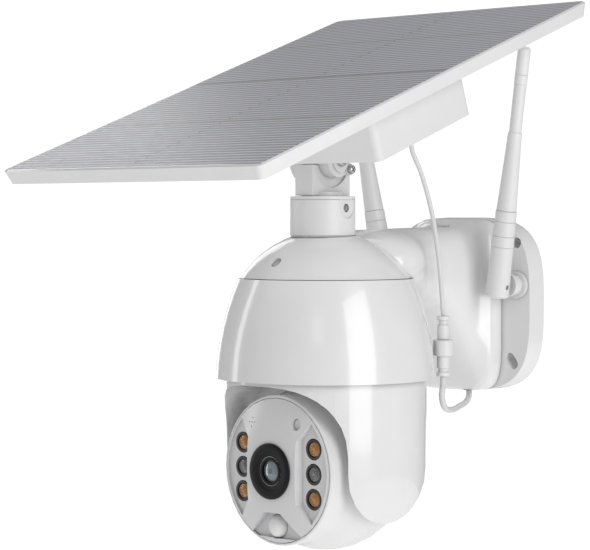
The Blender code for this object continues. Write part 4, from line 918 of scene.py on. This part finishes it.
@dataclass
class Leads:
    """The solar lead in two lengths, and the camera's own lead, in metres."""

    finishes: FinishBook
    thin: float = 0.0025
    thick: float = 0.0034
    sides: int = 16
    plug_x: float = 0.0420
    plug_y: float = -0.0850
    plug_top: float = -0.0039
    plug_length: float = 0.0330

    def tube(self, name: str, points: list[Vector], diameter: float) -> bpy.types.Object:
        """Skin a round sheath along a path.

        Args:
            name: the piece's name.
            points: the sheath's centre line.
            diameter: its outside diameter.

        Returns:
            The mesh object.
        """
        bm = bmesh.new()
        rings = []
        side = Vector((1, 0, 0))
        for index, point in enumerate(points):
            ahead = points[min(index + 1, len(points) - 1)] - points[max(index - 1, 0)]
            ahead.normalize()
            side = (side - ahead * side.dot(ahead)).normalized()
            up = ahead.cross(side)
            ring = []
            for step in range(self.sides):
                angle = 2 * math.pi * step / self.sides
                offset = side * math.cos(angle) + up * math.sin(angle)
                ring.append(bm.verts.new(point + offset * diameter / 2))
            rings.append(ring)
        for near, far in zip(rings, rings[1:]):
            for i in range(self.sides):
                j = (i + 1) % self.sides
                bm.faces.new((near[i], near[j], far[j], far[i]))
        bm.faces.new(rings[0])
        bm.faces.new(list(reversed(rings[-1])))
        return link_mesh(name, bm, [self.finishes.get("lead")], 50)

    def build(self) -> None:
        """Build the three lengths and say what each is."""
        gland = PANEL @ Vector((0.0420, 0.0270, 0.00645))
        upper_route = [gland, (0.0420, -0.1128, 0.0860), (0.0420, -0.1053, 0.0748), (0.0420, -0.0981, 0.0597),
                       (0.0420, -0.0930, 0.0445), (0.0420, -0.0882, 0.0215),
                       (self.plug_x, self.plug_y, self.plug_top)]
        whole = smooth_path(upper_route)
        half = path_length(whole) / 2
        walked, middle = 0.0, 1
        while walked < half:
            walked += (whole[middle] - whole[middle - 1]).length
            middle += 1
        upper, lower = whole[:middle], whole[middle - 1:][::-1]
        self.lay_upper(upper)
        self.lay_lower(lower)
        self.lay_camera_lead()

    def lay_upper(self, points: list[Vector]) -> None:
        """Lay the length from the panel's gland to the half-way point.

        Args:
            points: its centre line, from the gland down.
        """
        piece = self.tube("solar_lead_from_panel", points, self.thin)
        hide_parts("solar_lead_upper")
        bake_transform(piece)
        LOG.info("leads: upper %.1f mm", path_length(points) / MM)

    def lay_lower(self, points: list[Vector]) -> None:
        """Lay the length from the plug to the half-way point.

        Args:
            points: its centre line, from the plug up.
        """
        piece = self.tube("solar_lead_to_plug", points, self.thin)
        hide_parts("solar_lead_lower")
        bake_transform(piece)
        LOG.info("leads: lower %.1f mm", path_length(points) / MM)

    def lay_camera_lead(self) -> None:
        """Lay the slack loop from the arm's foot to the socket."""
        low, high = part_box("arm_grommet")
        foot = ((low[0] + high[0]) / 2 + 0.0003, (low[1] + high[1]) / 2 - 0.0005, low[2] + 0.0002)
        route = [foot, (0.0124, -0.0214, -0.0536), (0.0174, -0.0315, -0.0563), (0.0243, -0.0461, -0.0570),
                 (0.0322, -0.0632, -0.0575), (0.0393, -0.0788, -0.0556), (0.0425, -0.0860, -0.0515),
                 (0.0432, -0.0878, -0.0465), (0.0422, -0.0854, -0.0415),
                 (self.plug_x, self.plug_y, self.plug_top - self.plug_length)]
        points = smooth_path(route)
        piece = self.tube("camera_lead_loop", points, self.thick)
        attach(piece, "mount")
        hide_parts("camera_lead")
        LOG.info("leads: loop %.1f mm", path_length(points) / MM)


# ---- Studio ---------------------------------------------------------------------------------
@dataclass
class Studio:
    """Floor, soft lights, pale surround and the camera, in metres, degrees and watts.

    Each lamp has its name, its place, its width and height, and its power.
    """

    eye: tuple[float, float, float] = (0.74308, -1.00601, 0.04837)
    azimuth: float = 41.318
    look_down: float = 1.474
    lens_mm: float = 128.27
    floor_height: float = -1.5
    surround: float = 0.37
    backdrop: float = 1.05
    floor_glow: float = 0.46
    floor_half: float = 5.0
    target: tuple[float, float, float] = (0.0, -0.13, 0.0)
    lamps: tuple[tuple[str, tuple[float, float, float], tuple[float, float], float], ...] = (
        ("key", (1.65, -0.45, 0.35), (0.9, 1.5), 15.0),
        ("strip", (-1.45, -0.75, 0.2), (0.22, 1.5), 3.2),
        ("rim", (-1.35, 0.65, 0.25), (0.4, 1.5), 2.5),
        ("front", (0.95, -1.65, 0.75), (0.4, 0.4), 0.5),
    )

    def build(self) -> None:
        """Build the studio."""
        self.build_camera()
        self.build_floor()
        self.build_lights()
        LOG.info("studio: built")

    def build_camera(self) -> None:
        """Place the camera at the wanted angle."""
        data = bpy.data.cameras.new("studio_camera")
        data.sensor_width = 36.0
        data.lens = self.lens_mm
        data.clip_start = 0.01
        data.dof.use_dof = False
        camera = bpy.data.objects.new("studio_camera", data)
        bpy.context.scene.collection.objects.link(camera)
        camera.location = self.eye
        camera.rotation_euler = (math.radians(90 - self.look_down), 0, math.radians(self.azimuth))
        bpy.context.scene.camera = camera

    def build_floor(self) -> None:
        """Lay the pale painted floor."""
        bm = bmesh.new()
        bmesh.ops.create_grid(bm, x_segments=2, y_segments=2, size=self.floor_half)
        material, tree, shader, coords = new_material("pale_painted_floor")
        mottle = add_node(tree, "ShaderNodeTexNoise", values={"Scale": 6.0, "Detail": 2.0},
                          links={"Vector": coords.outputs["Object"]})
        tint = add_node(tree, "ShaderNodeMix", {"data_type": "RGBA"},
                        {6: linear("FAFAFA"), 7: linear("F7F7F7")}, {0: mottle.outputs["Fac"]})
        tree.links.new(tint.outputs[2], shader.inputs["Base Color"])
        shader.inputs["Roughness"].default_value = 0.9
        shader.inputs["Specular IOR Level"].default_value = 0.0
        shader.inputs["Emission Color"].default_value = (1, 1, 1, 1)
        shader.inputs["Emission Strength"].default_value = self.floor_glow
        floor = link_mesh("studio_floor", bm, [material])
        floor.location = (0, 0, self.floor_height)

    def build_lights(self) -> None:
        """Hang the key, strip, rim and front lamps, all aimed at the dome, in a pale surround."""
        scene = bpy.context.scene
        scene.view_settings.view_transform = "Standard"
        world = bpy.data.worlds.new("pale_surround")
        world.use_nodes = True
        tree = world.node_tree
        surround = tree.nodes["Background"]
        surround.inputs["Color"].default_value = (1, 1, 1, 1)
        surround.inputs["Strength"].default_value = self.surround
        backdrop = add_node(tree, "ShaderNodeBackground",
                            values={"Color": (1, 1, 1, 1), "Strength": self.backdrop})
        seen = add_node(tree, "ShaderNodeLightPath")
        both = add_node(tree, "ShaderNodeMixShader", links={
            0: seen.outputs["Is Camera Ray"], 1: surround.outputs[0], 2: backdrop.outputs[0]})
        tree.links.new(both.outputs[0], tree.nodes["World Output"].inputs["Surface"])
        scene.world = world
        for name, place, size, power in self.lamps:
            data = bpy.data.lights.new("studio_" + name, "AREA")
            data.shape = "RECTANGLE"
            data.size, data.size_y = size
            data.energy = power
            light = bpy.data.objects.new("studio_" + name, data)
            scene.collection.objects.link(light)
            light.location = place
            aim = Vector(self.target) - Vector(place)
            light.rotation_euler = aim.to_track_quat("-Z", "Y").to_euler()


def main() -> None:
    """Build the studio, then each sub-assembly."""
    logging.basicConfig(level=logging.INFO, format="%(message)s")
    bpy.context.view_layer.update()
    Studio().build()
    finishes = FinishBook()
    finishes.stock()
    Housing(finishes).dress()
    Leads(finishes).build()
    CameraFace(finishes).build()
    Hardware(finishes).build()


if __name__ == "__main__":
    main()
